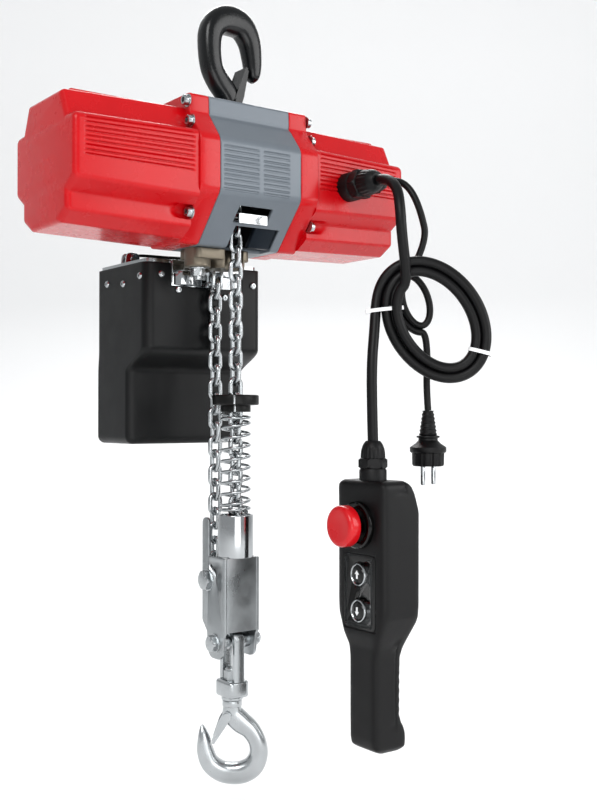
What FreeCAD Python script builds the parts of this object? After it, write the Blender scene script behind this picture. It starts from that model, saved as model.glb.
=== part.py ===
import FreeCAD, Part
import math
import os

# Two-fall electric chain hoist with its hook, chain container, bottom block, pendant and mains lead.
# Everything is modelled in millimetres about the sheave axis: X runs along the body, -Y is the
# front, +Z is up. save() lowers each piece so that the origin is the saddle of the top hook.

# ---- overall sizes
left_end_x = -198.0          # outer face of the left cover
right_end_x = 187.0          # outer face of the right cover
housing_half_x = 47.4        # half length of the grey centre housing
flange_x = 70.0              # where the covers step down from their flanges
saddle_z = 158.0             # top hook saddle above the sheave axis
hook_x = 6.0                 # the top hook stands slightly to the right of the chain
idler_z = -404.0             # idler axle of the bottom block at rest
wall = 4.0                   # wall of the cast covers
housing_wall = 6.0

# ---- load chain
chain_wire = 4.9
chain_pitch = 15.0
chain_width = 17.0
fall_links = 27              # links from the load sheave to the idler
link_run = -idler_z / fall_links
link_slack = 0.95            # how far a link's end stands off the next link's end arc

# ---- body sections, half outline from the top down as (y, z, corner radius)
flange_outline = [(48, 75, 3), (49, 56, 5), (70, 30, 16), (70, -21, 14), (28, -68, 7)]
cover_outline = [(38, 62, 3), (50, 37, 2), (67, 36, 7), (67, -28, 6), (50, -39, 2), (50, -55, 4), (33, -65, 4)]
draft = 3.0                  # how much the top and bottom of a cover fall towards its end

# ---- drive train
shaft_r = 6.0
hollow_r = 10.0              # outside of the hollow sheave shaft
hollow_bore_r = 7.0
running_gap = 0.05           # radial clearance of every running fit
loose_gap = 0.5
bearing_r = 20.0
bearing_w = 12.0
stator_r = 54.0
rotor_r = 30.0
air_gap = 0.5

# ---- bottom block
block_half_x = 20.5
plate_t = 3.0
tube_r = 18.2
tube_wall = 2.4
tube_top_z = -337.2
tube_bottom_z = -380.0
bumper_top_z = -216.0
bumper_plate_t = 10.3
bumper_collar_z = -233.4
spring_r = 15.6
spring_wire = 3.0
spring_turns = 10.5
axle_r = 6.0
lower_bolt_r = 5.0
lower_bolt_z = -466.0
lower_bolt_y = -16.0
hook_turn_deg = -36.0        # how the load hook hangs turned about its shank

# ---- top hook
shank_r = 11.0
top_hook_base_z = 76.0

# ---- chain container
box_x = (-76.0, 66.0)
box_y = (28.0, 142.0)
box_top_z = -80.0
box_bottom_z = -267.0
box_wall = 3.0

# ---- glands, cables and pendant
gland_x = 111.0
gland_z = 1.0
lead_gland_x = 137.0
lead_gland_z = 6.0
cable_r = 5.25
lead_r = 3.5
pendant_y = -135.0
pendant_top_z = -300.0
pendant_height = 263.0
handle_z = -460.0            # where the pendant narrows into its handle
face_x = 69.0                # face of the pendant, which looks towards -X
seam_x = 99.0
back_x = 119.0
handle_back_x = 107.0
pendant_gland_x = 87.0
estop_z = -343.0
up_z = -391.0
down_z = -426.0
button_r = 9.0

os.makedirs("parts", exist_ok=True)
saved = {}


def vec(x, y, z):
    return FreeCAD.Vector(x, y, z)


AX, AY, AZ = vec(1, 0, 0), vec(0, 1, 0), vec(0, 0, 1)


def save(name, shape):
    """Writes one node, moved so that the origin is the saddle of the top hook."""
    shape = shape.copy()
    shape.translate(vec(-hook_x, 0, -saddle_z))
    shape.exportStep("parts/" + name + ".step")
    saved[name] = shape
    bounds = shape.BoundBox
    print(name, "solids", len(shape.Solids), "valid", shape.isValid(), "volume", round(shape.Volume),
          "x %.0f %.0f y %.0f %.0f z %.0f %.0f" % (bounds.XMin, bounds.XMax, bounds.YMin, bounds.YMax,
                                                   bounds.ZMin, bounds.ZMax))


def block(x0, x1, y0, y1, z0, z1):
    return Part.makeBox(x1 - x0, y1 - y0, z1 - z0, vec(x0, y0, z0))


def rod(start, direction, radius, length):
    return Part.makeCylinder(radius, length, start, direction)


def ring(start, direction, outer, inner, length):
    return rod(start, direction, outer, length).cut(rod(start, direction, inner, length))


def hexagon(start, direction, across, length):
    """A hexagonal bar of the given width across flats, standing on start."""
    corner = across / math.sqrt(3)
    points = [vec(corner * math.cos(math.radians(60 * k)), corner * math.sin(math.radians(60 * k)), 0)
              for k in range(7)]
    bar = Part.Face(Part.makePolygon(points)).extrude(vec(0, 0, length))
    bar.Placement = FreeCAD.Placement(start, FreeCAD.Rotation(AZ, direction))
    return bar


def joined(shapes):
    shapes = list(shapes)
    return shapes[0].multiFuse(shapes[1:]) if len(shapes) > 1 else shapes[0]


def grouped(shapes):
    """Separate solids that share one node."""
    return Part.makeCompound([solid for shape in shapes for solid in shape.Solids])


def rounded_wire(corners, closed=True):
    """Straight runs joined by tangent arcs; corners are (point, radius)."""
    count = len(corners)
    ends = []
    for k, (point, radius) in enumerate(corners):
        if radius == 0 or (not closed and k in (0, count - 1)):
            ends.append((point, None, point))
            continue
        before = (corners[k - 1][0] - point).normalize()
        after = (corners[(k + 1) % count][0] - point).normalize()
        half = before.getAngle(after) / 2
        reach = radius / math.tan(half)
        middle = (before + after).normalize() * (radius / math.sin(half) - radius)
        ends.append((point + before * reach, point + middle, point + after * reach))
    edges = []
    for k in range(count):
        first, bend, last = ends[k]
        if bend is not None:
            edges.append(Part.Arc(first, bend, last).toShape())
        if k < count - 1 or closed:
            target = ends[(k + 1) % count][0]
            if last.distanceToPoint(target) > 1e-6:
                edges.append(Part.LineSegment(last, target).toShape())
    return Part.Wire(edges)


def side_wire(half, x, inset=0.0, lower=0.0):
    """A body section at x from its half outline, moved in by inset and drafted by lower."""
    right = []
    for y, z, radius in half:
        move = (inset + lower) if z > 0 else -(inset + lower)
        right.append((y - inset, z - move, max(radius - inset, 1.0)))
    points = [(vec(x, y, z), r) for y, z, r in right]
    points += [(vec(x, -y, z), r) for y, z, r in reversed(right)]
    return rounded_wire(points)


def prism(half, x0, x1, inset=0.0):
    return Part.Face(side_wire(half, x0, inset)).extrude(vec(x1 - x0, 0, 0))


def plate(corners, direction):
    """A flat plate: corners as (point, radius) in one plane, pushed along direction."""
    return Part.Face(rounded_wire(corners)).extrude(direction)


def tube_along(wire, radius):
    """A round bar along a wire of runs and arcs, checked against its section times its length."""
    start = wire.Edges[0]
    tangent = start.tangentAt(start.FirstParameter)
    circle = Part.Wire(Part.makeCircle(radius, start.valueAt(start.FirstParameter), tangent))
    bar = wire.makePipeShell([circle], True, False)
    expected = math.pi * radius ** 2 * wire.Length
    print("tube length %.1f volume ratio %.4f" % (wire.Length, bar.Volume / expected))
    return bar


def cord(points, radius):
    """A cord's tube: each arc's radius is 0.45 of the shorter run over the tangent of half the turn."""
    corners = [(vec(*points[0]), 0)]
    radii = []
    for a, b, c in zip(points, points[1:], points[2:]):
        first, second = vec(*b) - vec(*a), vec(*c) - vec(*b)
        turn = first.getAngle(second)
        bend = 0.45 * min(first.Length, second.Length) / math.tan(turn / 2)
        radii.append(round(bend))
        corners.append((vec(*b), bend))
    corners.append((vec(*points[-1]), 0))
    print("cord radii", radii)
    return tube_along(rounded_wire(corners, closed=False), radius)


# ---- links: a stadium of round wire, placed by centre, length direction and orientation

arc_r = (chain_width - chain_wire) / 2
straight = chain_pitch + 5.0 - 2 * arc_r


def make_link(wire):
    """One link standing along Z with its flat side across X."""
    half = straight / 2
    bars = [rod(vec(side * arc_r, 0, -half), AZ, wire / 2, straight) for side in (-1, 1)]
    ends = []
    for side in (-1, 1):
        end = Part.makeTorus(arc_r, wire / 2, vec(0, 0, 0), AZ, 0, 360, 180)
        end.rotate(vec(0, 0, 0), AX, 90 * side)
        end.translate(vec(0, 0, side * half))
        ends.append(end)
    return joined(bars + ends)


link_shape = make_link(chain_wire)


def placed_link(y, z, angle_deg, across, x=0.0):
    """A link in the YZ plane: angle is its tilt from vertical about X; across lays its width along X."""
    link = link_shape.copy()
    if not across:
        link.rotate(vec(0, 0, 0), AZ, 90)
    link.rotate(vec(0, 0, 0), AX, angle_deg)
    link.translate(vec(x, y, z))
    return link


def wheel_radii(step_deg):
    """Radii of the flat and the standing links on a wheel that turns each link by step_deg."""
    a = math.radians(step_deg)
    standing = (10 + 4 * math.cos(a) + link_slack * math.cos(a / 2)) / math.sin(a)
    flat = standing * math.cos(a) + 4 * math.sin(a) + link_slack * math.sin(a / 2)
    return flat, standing


sheave_flat, sheave_standing = wheel_radii(36)
idler_flat, idler_standing = wheel_radii(45)
live_y = -sheave_flat
idler_y = live_y + idler_standing
dead_y = idler_y + idler_standing


def on_wheel(centre_y, centre_z, angle_deg, radius, across):
    a = math.radians(angle_deg)
    return placed_link(centre_y + radius * math.cos(a), centre_z + radius * math.sin(a), angle_deg, across)


def load_chain():
    """The live fall, the wrap under the idler and the dead fall up to its anchor."""
    links = [placed_link(live_y, -link_run * k, 0, k % 2 == 0) for k in range(1, fall_links)]
    for k in range(5):
        standing = k % 2 == 0
        radius = idler_standing if standing else idler_flat
        links.append(on_wheel(idler_y, idler_z, 180 + 45 * k, radius, not standing))
    links += [placed_link(dead_y + dead_lean * k, idler_z + link_run * k, 0, k % 2 == 1)
              for k in range(1, dead_links + 1)]
    return grouped(links)


dead_links = 20
dead_lean = 0.05
anchor_link_y = dead_y + dead_lean * dead_links
anchor_link_z = idler_z + link_run * dead_links


def slack_route():
    """Centres and tilts of the slack links from the top of the sheave down into the container."""
    route = []
    y, z = sheave_flat * math.cos(math.radians(36)), sheave_flat * math.sin(math.radians(36))
    tilt = 36.0
    across = True
    for k in range(1, 15):
        a = math.radians(tilt)
        y, z = y + 14.7 * math.sin(a), z - 14.7 * math.cos(a)
        if k >= 5:
            tilt = max(tilt - 9.0, 0.0)
        across = not across
        route.append((y, z, tilt, across))
    return route


def drive_chain():
    """The wrap over the load sheave and the slack side."""
    links = []
    for k in range(5):
        flat = k % 2 == 0
        radius = sheave_flat if flat else sheave_standing
        links.append(on_wheel(0, 0, 180 - 36 * k, radius, flat))
    links += [placed_link(y, z, tilt, across) for y, z, tilt, across in slack_route()]
    return grouped(links)


# ---- hooks: a flat forging cut to an outline in the XZ plane, with its long edges rounded

def forged(outline, thickness, edge_round):
    """Pushes a closed (x, z, radius) outline through thickness about Y = 0 and rounds its rims."""
    corners = [(vec(x, -thickness / 2, z), r) for x, z, r in outline]
    body = plate(corners, vec(0, thickness, 0))
    rims = [edge for edge in body.Edges
            if edge.BoundBox.YLength < 1e-6 and edge.BoundBox.ZMin > min(z for _, z, _ in outline) + 1e-3
            or edge.BoundBox.YLength < 1e-6 and edge.BoundBox.ZLength > 1e-3]
    return body.makeFillet(edge_round, rims)


hook_thickness = 18.0
hook_round = 3.0
hook_foot_z = top_hook_base_z + 0.3
housing_top_z = flange_outline[0][1]
nut_gap = 0.3


def top_hook():
    outline = [(-9, hook_foot_z, 0), (-13, 92, 10), (-34, 112, 25), (-34, 188, 33), (36, 188, 33),
               (35, 115, 6), (22, 113, 4), (17, saddle_z, 15), (-17, saddle_z, 15), (-17, 112, 14),
               (9, 95, 4), (9, hook_foot_z, 0)]
    shank = rod(vec(0, 0, 37), AZ, shank_r - 2, hook_foot_z - 37 + 1)
    collar = rod(vec(0, 0, housing_top_z + 0.3), AZ, shank_r + 3, 4.6)
    pin_hole = rod(vec(4, -20, 86.5), AY, 2.5, 40)
    return joined([forged(outline, hook_thickness, hook_round), shank, collar]).cut(pin_hole)


def latch(pivot, tip, ear_half, gap, plate_t, pin_r):
    """A sheet latch: two ears beside the neck, joined by a web that reaches to the hook's tip."""
    along = (tip - pivot).normalize()
    normal = vec(-along.z, 0, along.x)
    reach = tip.distanceToPoint(pivot)
    ears = []
    for side in (-1, 1):
        y = side * (ear_half + gap + plate_t / 2) - plate_t / 2
        corners = [(pivot - along * 5 - normal * 5, 4), (pivot - along * 5 + normal * 5, 4),
                   (pivot + along * (reach - 2) + normal * 2.5, 0),
                   (pivot + along * (reach - 2) - normal * 1.5, 0), (pivot + along * 9 - normal * 5, 3)]
        corners = [(vec(p.x, y, p.z), r) for p, r in corners]
        ears.append(plate(corners, vec(0, plate_t, 0)))
    half = ear_half + gap + plate_t
    low, high = pivot + along * 13, pivot + along * reach
    web = [(vec(p.x, -half, p.z), 0) for p in (low + normal * 2.5, high + normal * 2.5, high, low)]
    shape = joined(ears + [plate(web, vec(0, 2 * half, 0))])
    return shape.cut(rod(vec(pivot.x, -half - 1, pivot.z), AY, pin_r + running_gap, 2 * half + 2))


def latch_pin(pivot, half, pin_r, head_r):
    pin = rod(vec(pivot.x, -half - 2, pivot.z), AY, pin_r, 2 * half + 4)
    heads = [rod(vec(pivot.x, y, pivot.z), AY, head_r, 1.7) for y in (-half - 2, half + 0.3)]
    return joined([pin] + heads)


latch_plate = 1.6
latch_gap = 0.35
top_pivot = vec(4, 0, 86.5)
top_tip = vec(16.5, 0, 124)
latch_half = hook_thickness / 2 + latch_gap + latch_plate


def top_hook_nut():
    nut = hexagon(vec(0, 0, 38), AZ, 30, 10)
    washer = rod(vec(0, 0, 48), AZ, 17, 5.7)
    return joined([nut, washer]).cut(rod(vec(0, 0, 37), AZ, shank_r - 2, 20))


# ---- housing and covers

boss_bottom_z = 54.0
screw_r = 3.0
screw_head_r = 5.0
screw_places = [(-46, 67), (-53, 46), (-52, -42)]


def screw_points():
    for y, z in screw_places:
        yield y, z
        yield -y, z


def slack_slot(extra):
    """The slanting opening that the slack chain leaves through, at the rear lower edge."""
    y, z, tilt, _ = slack_route()[0]
    passage = block(-11 - extra, 11 + extra, -11 - extra, 11 + extra, -75, 4)
    passage.rotate(vec(0, 0, 0), AX, tilt)
    passage.translate(vec(0, y, z))
    return passage


def center_housing():
    outer = prism(flange_outline, -housing_half_x, housing_half_x)
    inner = prism(flange_outline, -housing_half_x + 7, housing_half_x + 1, housing_wall)
    shell = outer.cut(inner)
    boss = rod(vec(hook_x, 0, boss_bottom_z), AZ, 22, housing_top_z - boss_bottom_z - 1)
    shell = shell.fuse(boss)
    cuts = [rod(vec(hook_x, 0, 0), AZ, shank_r - 2 + running_gap, 100)]
    cuts.append(rod(vec(-housing_half_x - 1, 0, 0), AX, bearing_r, 10))
    cuts.append(block(-15, 38, -60, -10, -75, -46))
    cuts.append(block(-20, 20, -60, -35, -49, -31))
    cuts.append(slack_slot(0))
    for first, last in ((-44, -3), (2, 34)):
        for k in range(10):
            z = 24 - 4.6 * k
            cuts.append(block(first, last, -75, -68.8, z - 2.8, z))
    for y, z in screw_points():
        cuts.append(rod(vec(-housing_half_x - 1, y, z), AX, screw_r - 0.5, 14))
        cuts.append(rod(vec(housing_half_x - 13, y, z), AX, screw_r - 0.5, 14))
    for cut in cuts:
        shell = shell.cut(cut)
    return shell


def cover(side, end_x):
    """A cast cover: side is -1 for the motor's and 1 for the gearbox's."""
    outer_flange = prism(flange_outline, side * housing_half_x, side * flange_x)
    body = Part.makeLoft([side_wire(cover_outline, side * (flange_x - 1)),
                          side_wire(cover_outline, end_x, 0, draft)], True, True)
    hollow = Part.makeLoft([side_wire(cover_outline, side * (housing_half_x - 1), wall),
                            side_wire(cover_outline, end_x - side * wall, wall, draft)], True, True)
    pad = block(-14, 14, -14, 14, 55, 67)
    pad.translate(vec(side * (flange_x + 16), 0, 0))
    shape = joined([outer_flange, body, pad]).cut(hollow)
    rib_first, rib_last = sorted((side * (flange_x + 3), end_x - side * 10))
    for k in range(9):
        z = 32 - 4.5 * k
        for y in (-70, 66.2):
            shape = shape.cut(block(rib_first, rib_last, y, y + 3.8, z - 2.4, z))
    for y, z in screw_points():
        shape = shape.cut(rod(vec(side * (housing_half_x - 1), y, z), vec(side, 0, 0), screw_r + 0.2, 60))
        shape = shape.cut(rod(vec(side * flange_x, y, z), vec(side, 0, 0), screw_head_r + 2, 70))
    if side > 0:
        shape = shape.cut(rod(vec(gland_x, -80, gland_z), AY, 12.1, 30))
        shape = shape.cut(rod(vec(lead_gland_x, -80, lead_gland_z), AY, 8.1, 30))
    return shape


def cover_screws():
    screws = []
    for side in (-1, 1):
        for y, z in screw_points():
            out = vec(side, 0, 0)
            head = rod(vec(side * (flange_x + 0.05), y, z), out, screw_head_r, 6)
            socket = hexagon(vec(side * (flange_x + 3), y, z), out, 5, 4)
            stem = rod(vec(side * (housing_half_x - 8), y, z), out, screw_r - 0.6, flange_x - housing_half_x + 9)
            screws.append(joined([head, stem]).cut(socket))
    return grouped(screws)


# ---- motor, brake and gears, all about the X axis

stator_x = (-150.0, -95.0)
plate_x = housing_half_x - 7.0
first_module = 1.25
pinion_teeth, wheel_teeth = 12, 36
second_teeth, output_teeth = 14, 34
gear_gap = first_module * (pinion_teeth + wheel_teeth) / 2
second_module = 2 * gear_gap / (second_teeth + output_teeth)
first_gear_x = (66.0, 76.0)
output_gear_x = (50.0, 61.0)
gear_shaft_r = 5.0
small_bearing_r = 8.0
bridge_x = (first_gear_x[1] + 4, first_gear_x[1] + 11)


def gear(teeth, module, x_range, z, bore, phase_deg):
    """A straight spur gear with trapezoid teeth, standing along X at height z."""
    points = []
    for k in range(teeth):
        for share, height in ((-0.36, -1.35), (-0.12, 0.8), (0.12, 0.8), (0.36, -1.35)):
            a = math.radians(phase_deg) + 2 * math.pi * (k + share) / teeth
            r = module * (teeth / 2 + height)
            points.append(vec(x_range[0], r * math.cos(a), z + r * math.sin(a)))
    body = Part.Face(Part.makePolygon(points + points[:1])).extrude(vec(x_range[1] - x_range[0], 0, 0))
    if bore:
        body = body.cut(rod(vec(x_range[0] - 1, 0, z), AX, bore, x_range[1] - x_range[0] + 2))
    return body


def rotor():
    """The motor shaft with its rotor core, and the pinion cut on its far end."""
    shaft = rod(vec(-178, 0, 0), AX, shaft_r, 178 + first_gear_x[0])
    core = rod(vec(stator_x[0], 0, 0), AX, rotor_r, stator_x[1] - stator_x[0])
    pinion = gear(pinion_teeth, first_module, (first_gear_x[0] - 1, first_gear_x[1] + 1), 0, 0, 90)
    tail = rod(vec(first_gear_x[1], 0, 0), AX, 4, bridge_x[1] - first_gear_x[1] + 1)
    return joined([shaft, core, pinion, tail])


def stator_core():
    core = ring(vec(stator_x[0], 0, 0), AX, stator_r, rotor_r + air_gap, stator_x[1] - stator_x[0])
    slot_mouth = rotor_r + 2
    for k in range(24):
        slot = block(stator_x[0] - 1, stator_x[1] + 1, -1.6, 1.6, slot_mouth, slot_mouth + 11)
        slot.rotate(vec(0, 0, 0), AX, 15 * k)
        core = core.cut(slot)
    return core


def stator_windings():
    ends = [ring(vec(x0, 0, 0), AX, rotor_r + 13, rotor_r + 2, 12.8)
            for x0 in (stator_x[0] - 13, stator_x[1] + 0.2)]
    return grouped(ends)


def bearing(x, outer, inner, width, z=0.0):
    return ring(vec(x, 0, z), AX, outer, inner, width)


def shaft_bearings():
    """Two big bearings carry the sheave's hollow shaft, small ones the motor and gear shafts."""
    return grouped([
        bearing(-housing_half_x + 0.2, bearing_r, hollow_r + running_gap, 6.6),
        bearing(plate_x, bearing_r, hollow_r + running_gap, 6.8),
        bearing(motor_web_x, 14, shaft_r + running_gap, 8),
        bearing(bridge_x[0], 11, 4 + running_gap, 7),
        bearing(plate_x, small_bearing_r, gear_shaft_r + running_gap, 6.8, gear_gap),
        bearing(bridge_x[0], small_bearing_r, gear_shaft_r + running_gap, 7, gear_gap)])


def gearbox_plate():
    """The plate that closes the housing, with the bridge that carries the outer gear bearings."""
    body = prism(flange_outline, plate_x, housing_half_x - 0.2, housing_wall + 0.1)
    body = body.cut(rod(vec(plate_x - 1, 0, 0), AX, bearing_r, 10))
    body = body.cut(rod(vec(plate_x - 1, 0, gear_gap), AX, small_bearing_r, 10))
    bridge = block(bridge_x[0], bridge_x[1], -36, 36, -16, gear_gap + 14)
    bridge = bridge.cut(rod(vec(bridge_x[0] - 1, 0, 0), AX, 11, 10))
    bridge = bridge.cut(rod(vec(bridge_x[0] - 1, 0, gear_gap), AX, small_bearing_r, 10))
    posts = [rod(vec(housing_half_x - 1, side * 31, -10), AX, 4, bridge_x[0] - housing_half_x + 2)
             for side in (-1, 1)]
    return joined([body, bridge] + posts)


def countershaft():
    """The second shaft: a large wheel driven by the motor, and a pinion that drives the sheave."""
    shaft = rod(vec(plate_x - 2, 0, gear_gap), AX, gear_shaft_r, bridge_x[1] - plate_x + 3)
    wheel = gear(wheel_teeth, first_module, first_gear_x, gear_gap, 0, -90 + 180 / wheel_teeth)
    small = gear(second_teeth, second_module, (output_gear_x[0], first_gear_x[0] + 1), gear_gap, 0,
                 -90 + 180 / second_teeth)
    return joined([shaft, wheel, small])


def output_gear():
    return gear(output_teeth, second_module, output_gear_x, 0, hollow_r, 90)


def flat_pocket(flat_r, room):
    """The room that a flat link needs in a chain wheel: a stadium open towards the rim."""
    half = chain_width / 2 + room
    reach = (chain_pitch + 2 * 5) / 2 + room
    y = flat_r - chain_wire / 2 - room
    corners = [(vec(-half, y, -reach), half - 0.2), (vec(half, y, -reach), half - 0.2),
               (vec(half, y, reach), half - 0.2), (vec(-half, y, reach), half - 0.2)]
    return plate(corners, vec(0, 25, 0))


def chain_wheel(centre_y, centre_z, half_x, rim_r, root_r, flat_r, step, first_deg, room):
    """A pocket wheel: a groove for the standing links and a pocket for each flat one."""
    wheel = rod(vec(-half_x, 0, 0), AX, rim_r, 2 * half_x)
    gap = chain_wire / 2 + room
    wheel = wheel.cut(ring(vec(-gap, 0, 0), AX, 2 * rim_r, root_r, 2 * gap))
    for k in range(round(360 / step)):
        pocket = flat_pocket(flat_r, room)
        pocket.rotate(vec(0, 0, 0), AX, first_deg + step * k)
        wheel = wheel.cut(pocket)
    wheel.translate(vec(0, centre_y, centre_z))
    return wheel


def load_sheave():
    """The pocketed chain wheel and its hollow shaft."""
    wheel = chain_wheel(0, 0, 12.5, sheave_flat + 1.2, sheave_standing - chain_width / 2 - 0.5,
                        sheave_flat, 72, 180, 0.45)
    shaft = rod(vec(-housing_half_x + 0.2, 0, 0), AX, hollow_r, housing_half_x + output_gear_x[1] + 1)
    return joined([wheel, shaft]).cut(rod(vec(-60, 0, 0), AX, hollow_bore_r, 140))


motor_web_x = -80.0


def motor_shield():
    """The plate between motor and brake side of the left cover that carries the motor bearing."""
    body = prism(cover_outline, motor_web_x, motor_web_x + 8, wall + 1.5)
    return body.cut(rod(vec(motor_web_x - 1, 0, 0), AX, 14, 10))


def brake_coil():
    """The electromagnet that pulls the brake open."""
    pot = ring(vec(-191, 0, 0), AX, 38, 9, 18)
    return pot.cut(ring(vec(-182, 0, 0), AX, 30, 18, 10))


def brake_disc():
    return ring(vec(-169.4, 0, 0), AX, 36, shaft_r, 5)


def brake_armature():
    return ring(vec(-172.05, 0, 0), AX, 37, 8, 2.6)


def control_board():
    """A circuit board on its edge, with the run capacitor, transformer and contactor on it."""
    board = block(96, 176, 25, 27, -32, 30)
    parts = [rod(vec(100, 12, -18), AX, 13, 46), block(152, 174, 0, 25, -28, 0), block(104, 140, 4, 25, 2, 28)]
    return joined([board] + parts)


def limit_switch():
    return block(-38, -22, -50, -38, -26, -10).fuse(rod(vec(-24, -44, -22), AX, 2, 9))


def limit_lever():
    """The bright plate across the chain opening; a rising bumper tips it and stops the motor."""
    face = block(-17, 17, -54.5, -51.5, -47, -37)
    arms = [block(x, x + 3, -52, -40, -40, -36.5) for x in (-17, 14)]
    pivot = rod(vec(-20, -41, -38), AX, 2, 40)
    return joined([face, pivot] + arms)


# ---- chain guide, anchor and container

guide_top_z = flange_outline[-1][1] - 0.2
guide_bottom_z = -87.0
anchor_r = 2.6
anchor_z = anchor_link_z + chain_pitch / 2 - anchor_r - 0.15


def chain_guide():
    """Two round bosses under a common plate; the live fall leaves through the front of the larger one."""
    body = block(-46, 22, -22, 20, guide_bottom_z + 8, guide_top_z)
    for x, y, radius in ((-34, -4, 13.5), (0, -4, 19)):
        body = body.fuse(rod(vec(x, y, guide_bottom_z), AZ, radius, guide_top_z - guide_bottom_z))
    return body.cut(rod(vec(0, live_y, guide_bottom_z - 1), AZ, 11.5, 40))


def chain_anchor():
    """The clevis under the guide with the pin that holds the dead end, and its fixing nut."""
    cheeks = [block(x, x + 3.4, anchor_link_y - 6, anchor_link_y + 6, anchor_z - 6, guide_bottom_z)
              for x in (-6.6, 3.2)]
    pin = rod(vec(-8.5, anchor_link_y, anchor_z), AX, anchor_r, 17)
    nut = hexagon(vec(-34, -4, guide_bottom_z - 9), AZ, 13, 9)
    stud = rod(vec(-34, -4, guide_bottom_z - 13), AZ, 4, 13)
    return grouped([joined(cheeks + [pin]), joined([nut, stud])])


def box_form(inset):
    """The container's outer form, or its inside for an inset: a deep box whose lower front is set back."""
    x0, x1 = box_x[0] + inset, box_x[1] - inset
    y0, y1 = box_y[0] + inset, box_y[1] - inset
    ledge_y = 66 + inset
    low = box_bottom_z + inset
    top = box_top_z + (5 if inset else 0)
    side = [(vec(x0, y0, top), 0), (vec(x0, y1, top), 0), (vec(x0, y1, low), 9),
            (vec(x0, ledge_y, low), 9), (vec(x0, ledge_y, -192), 10), (vec(x0, y0, -168), 10)]
    body = plate(side, vec(x1 - x0, 0, 0))
    round_r = 10 - inset
    plans = []
    for front, z0, z1 in ((y0, -190, top), (ledge_y, low, -190)):
        plan = [(vec(x0, front, z0), round_r), (vec(x1, front, z0), round_r),
                (vec(x1, y1, z0), round_r), (vec(x0, y1, z0), round_r)]
        plans.append(plate(plan, vec(0, 0, z1 - z0)))
    return body.common(joined(plans))


screw_spots = [("x", 106, -96), ("x", 69, -99), ("x", 32, -94), ("y", -58, -92), ("y", -38, -107),
               ("y", 18, -112), ("y", 54, -97)]


def chain_container():
    body = box_form(0).cut(box_form(box_wall))
    cut = [(vec(-46, 20, box_top_z + 5), 0), (vec(40, 20, box_top_z + 5), 0), (vec(40, 20, -103), 6),
           (vec(-46, 20, -103), 6)]
    return body.cut(plate(cut, vec(0, 14, 0)))


def container_screws():
    screws = []
    for face, across, z in screw_spots:
        if face == "x":
            start, out = vec(box_x[0], box_y[0] + across - 20, z), vec(-1, 0, 0)
        else:
            start, out = vec(across, box_y[0], z), vec(0, -1, 0)
        head = rod(start, out, 3.6, 2.2)
        screws.append(head.cut(hexagon(start + out * 1.2, out, 2.5, 2)))
    return grouped(screws)


def container_frame():
    """The galvanised frame in the container's mouth, its front cheek, lug and hanger."""
    inset = box_wall + 0.3
    x0, x1, y0, y1 = box_x[0] + inset, box_x[1] - inset, box_y[0] + inset, box_y[1] - inset
    plan = [(vec(x0, y0, box_top_z - 26), 7), (vec(x1, y0, box_top_z - 26), 7),
            (vec(x1, y1, box_top_z - 26), 7), (vec(x0, y1, box_top_z - 26), 7)]
    skirt = plate(plan, vec(0, 0, 27))
    hole = [(p + vec(2.5 if p.x < 0 else -2.5, 2.5 if p.y < 80 else -2.5, -1), 4) for p, _ in plan]
    skirt = skirt.cut(plate(hole, vec(0, 0, 30)))
    rim = plate([(vec(p.x, p.y, box_top_z + 1), r) for p, r in plan], vec(0, 0, 3))
    mouth = [(vec(-50, 46, box_top_z), 8), (vec(50, 46, box_top_z), 8), (vec(50, 128, box_top_z), 8),
             (vec(-50, 128, box_top_z), 8)]
    rim = rim.cut(plate(mouth, vec(0, 0, 9)))
    rim = rim.cut(block(-46, 40, 20, 40, box_top_z, box_top_z + 9))
    front = block(-45.7, 39.7, 27.5, 33.5, -90, -76)
    cup_top = guide_bottom_z - 0.3
    cup = ring(vec(-27, 36, -101.5), AZ, 17, 14.5, cup_top + 101.5).common(block(-60, 10, 8, 33, -110, -70))
    ears = [block(-70, -52, y, y + 3, box_top_z + 3, box_top_z + 16) for y in (84, 93)]
    lug_pin = rod(vec(-61, 82, box_top_z + 11), AY, 3, 16)
    rail = block(-62, -20, 88, 91, box_top_z + 9, box_top_z + 12)
    stay = block(-24, -20, 27.5, 91, box_top_z + 6, box_top_z + 12)
    return joined([skirt, rim, front, cup, lug_pin, rail, stay] + ears)


def stored_chain():
    """The heap of slack chain lying in the container."""
    return box_form(box_wall + 1.5).common(block(box_x[0], box_x[1], box_y[0], box_y[1], box_bottom_z, -214))


# ---- bottom block

yoke_half = 11.5
strap_t = 5.0
yoke_base_z = (-522.0, -505.0)
load_hook_top_z = -530.5


def bumper():
    """The bumper's plate and collar, which a rising block pushes against the guide."""
    disc = rod(vec(0, live_y, bumper_top_z - bumper_plate_t), AZ, 23.7, bumper_plate_t)
    disc = disc.makeFillet(1.5, [e for e in disc.Edges if e.BoundBox.ZLength < 0.1])
    collar = rod(vec(0, live_y, bumper_collar_z), AZ, 15.5, bumper_top_z - bumper_collar_z - 2)
    body = joined([disc, collar]).cut(rod(vec(0, live_y, bumper_collar_z - 1), AZ, 10, 40))
    return body.cut(block(-0.4, 0.4, live_y - 30, live_y - 9, bumper_collar_z - 1, bumper_top_z + 1))


def bumper_spring():
    low, high = tube_top_z + spring_wire / 2 + 0.1, bumper_collar_z - spring_wire / 2 - 0.1
    helix = Part.makeHelix((high - low) / spring_turns, high - low, spring_r - spring_wire / 2)
    helix.translate(vec(0, live_y, low))
    start = helix.Edges[0].valueAt(helix.Edges[0].FirstParameter)
    circle = Part.Wire(Part.makeCircle(spring_wire / 2, start,
                                       helix.Edges[0].tangentAt(helix.Edges[0].FirstParameter)))
    return Part.Wire(helix).makePipeShell([circle], True, True)


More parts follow.
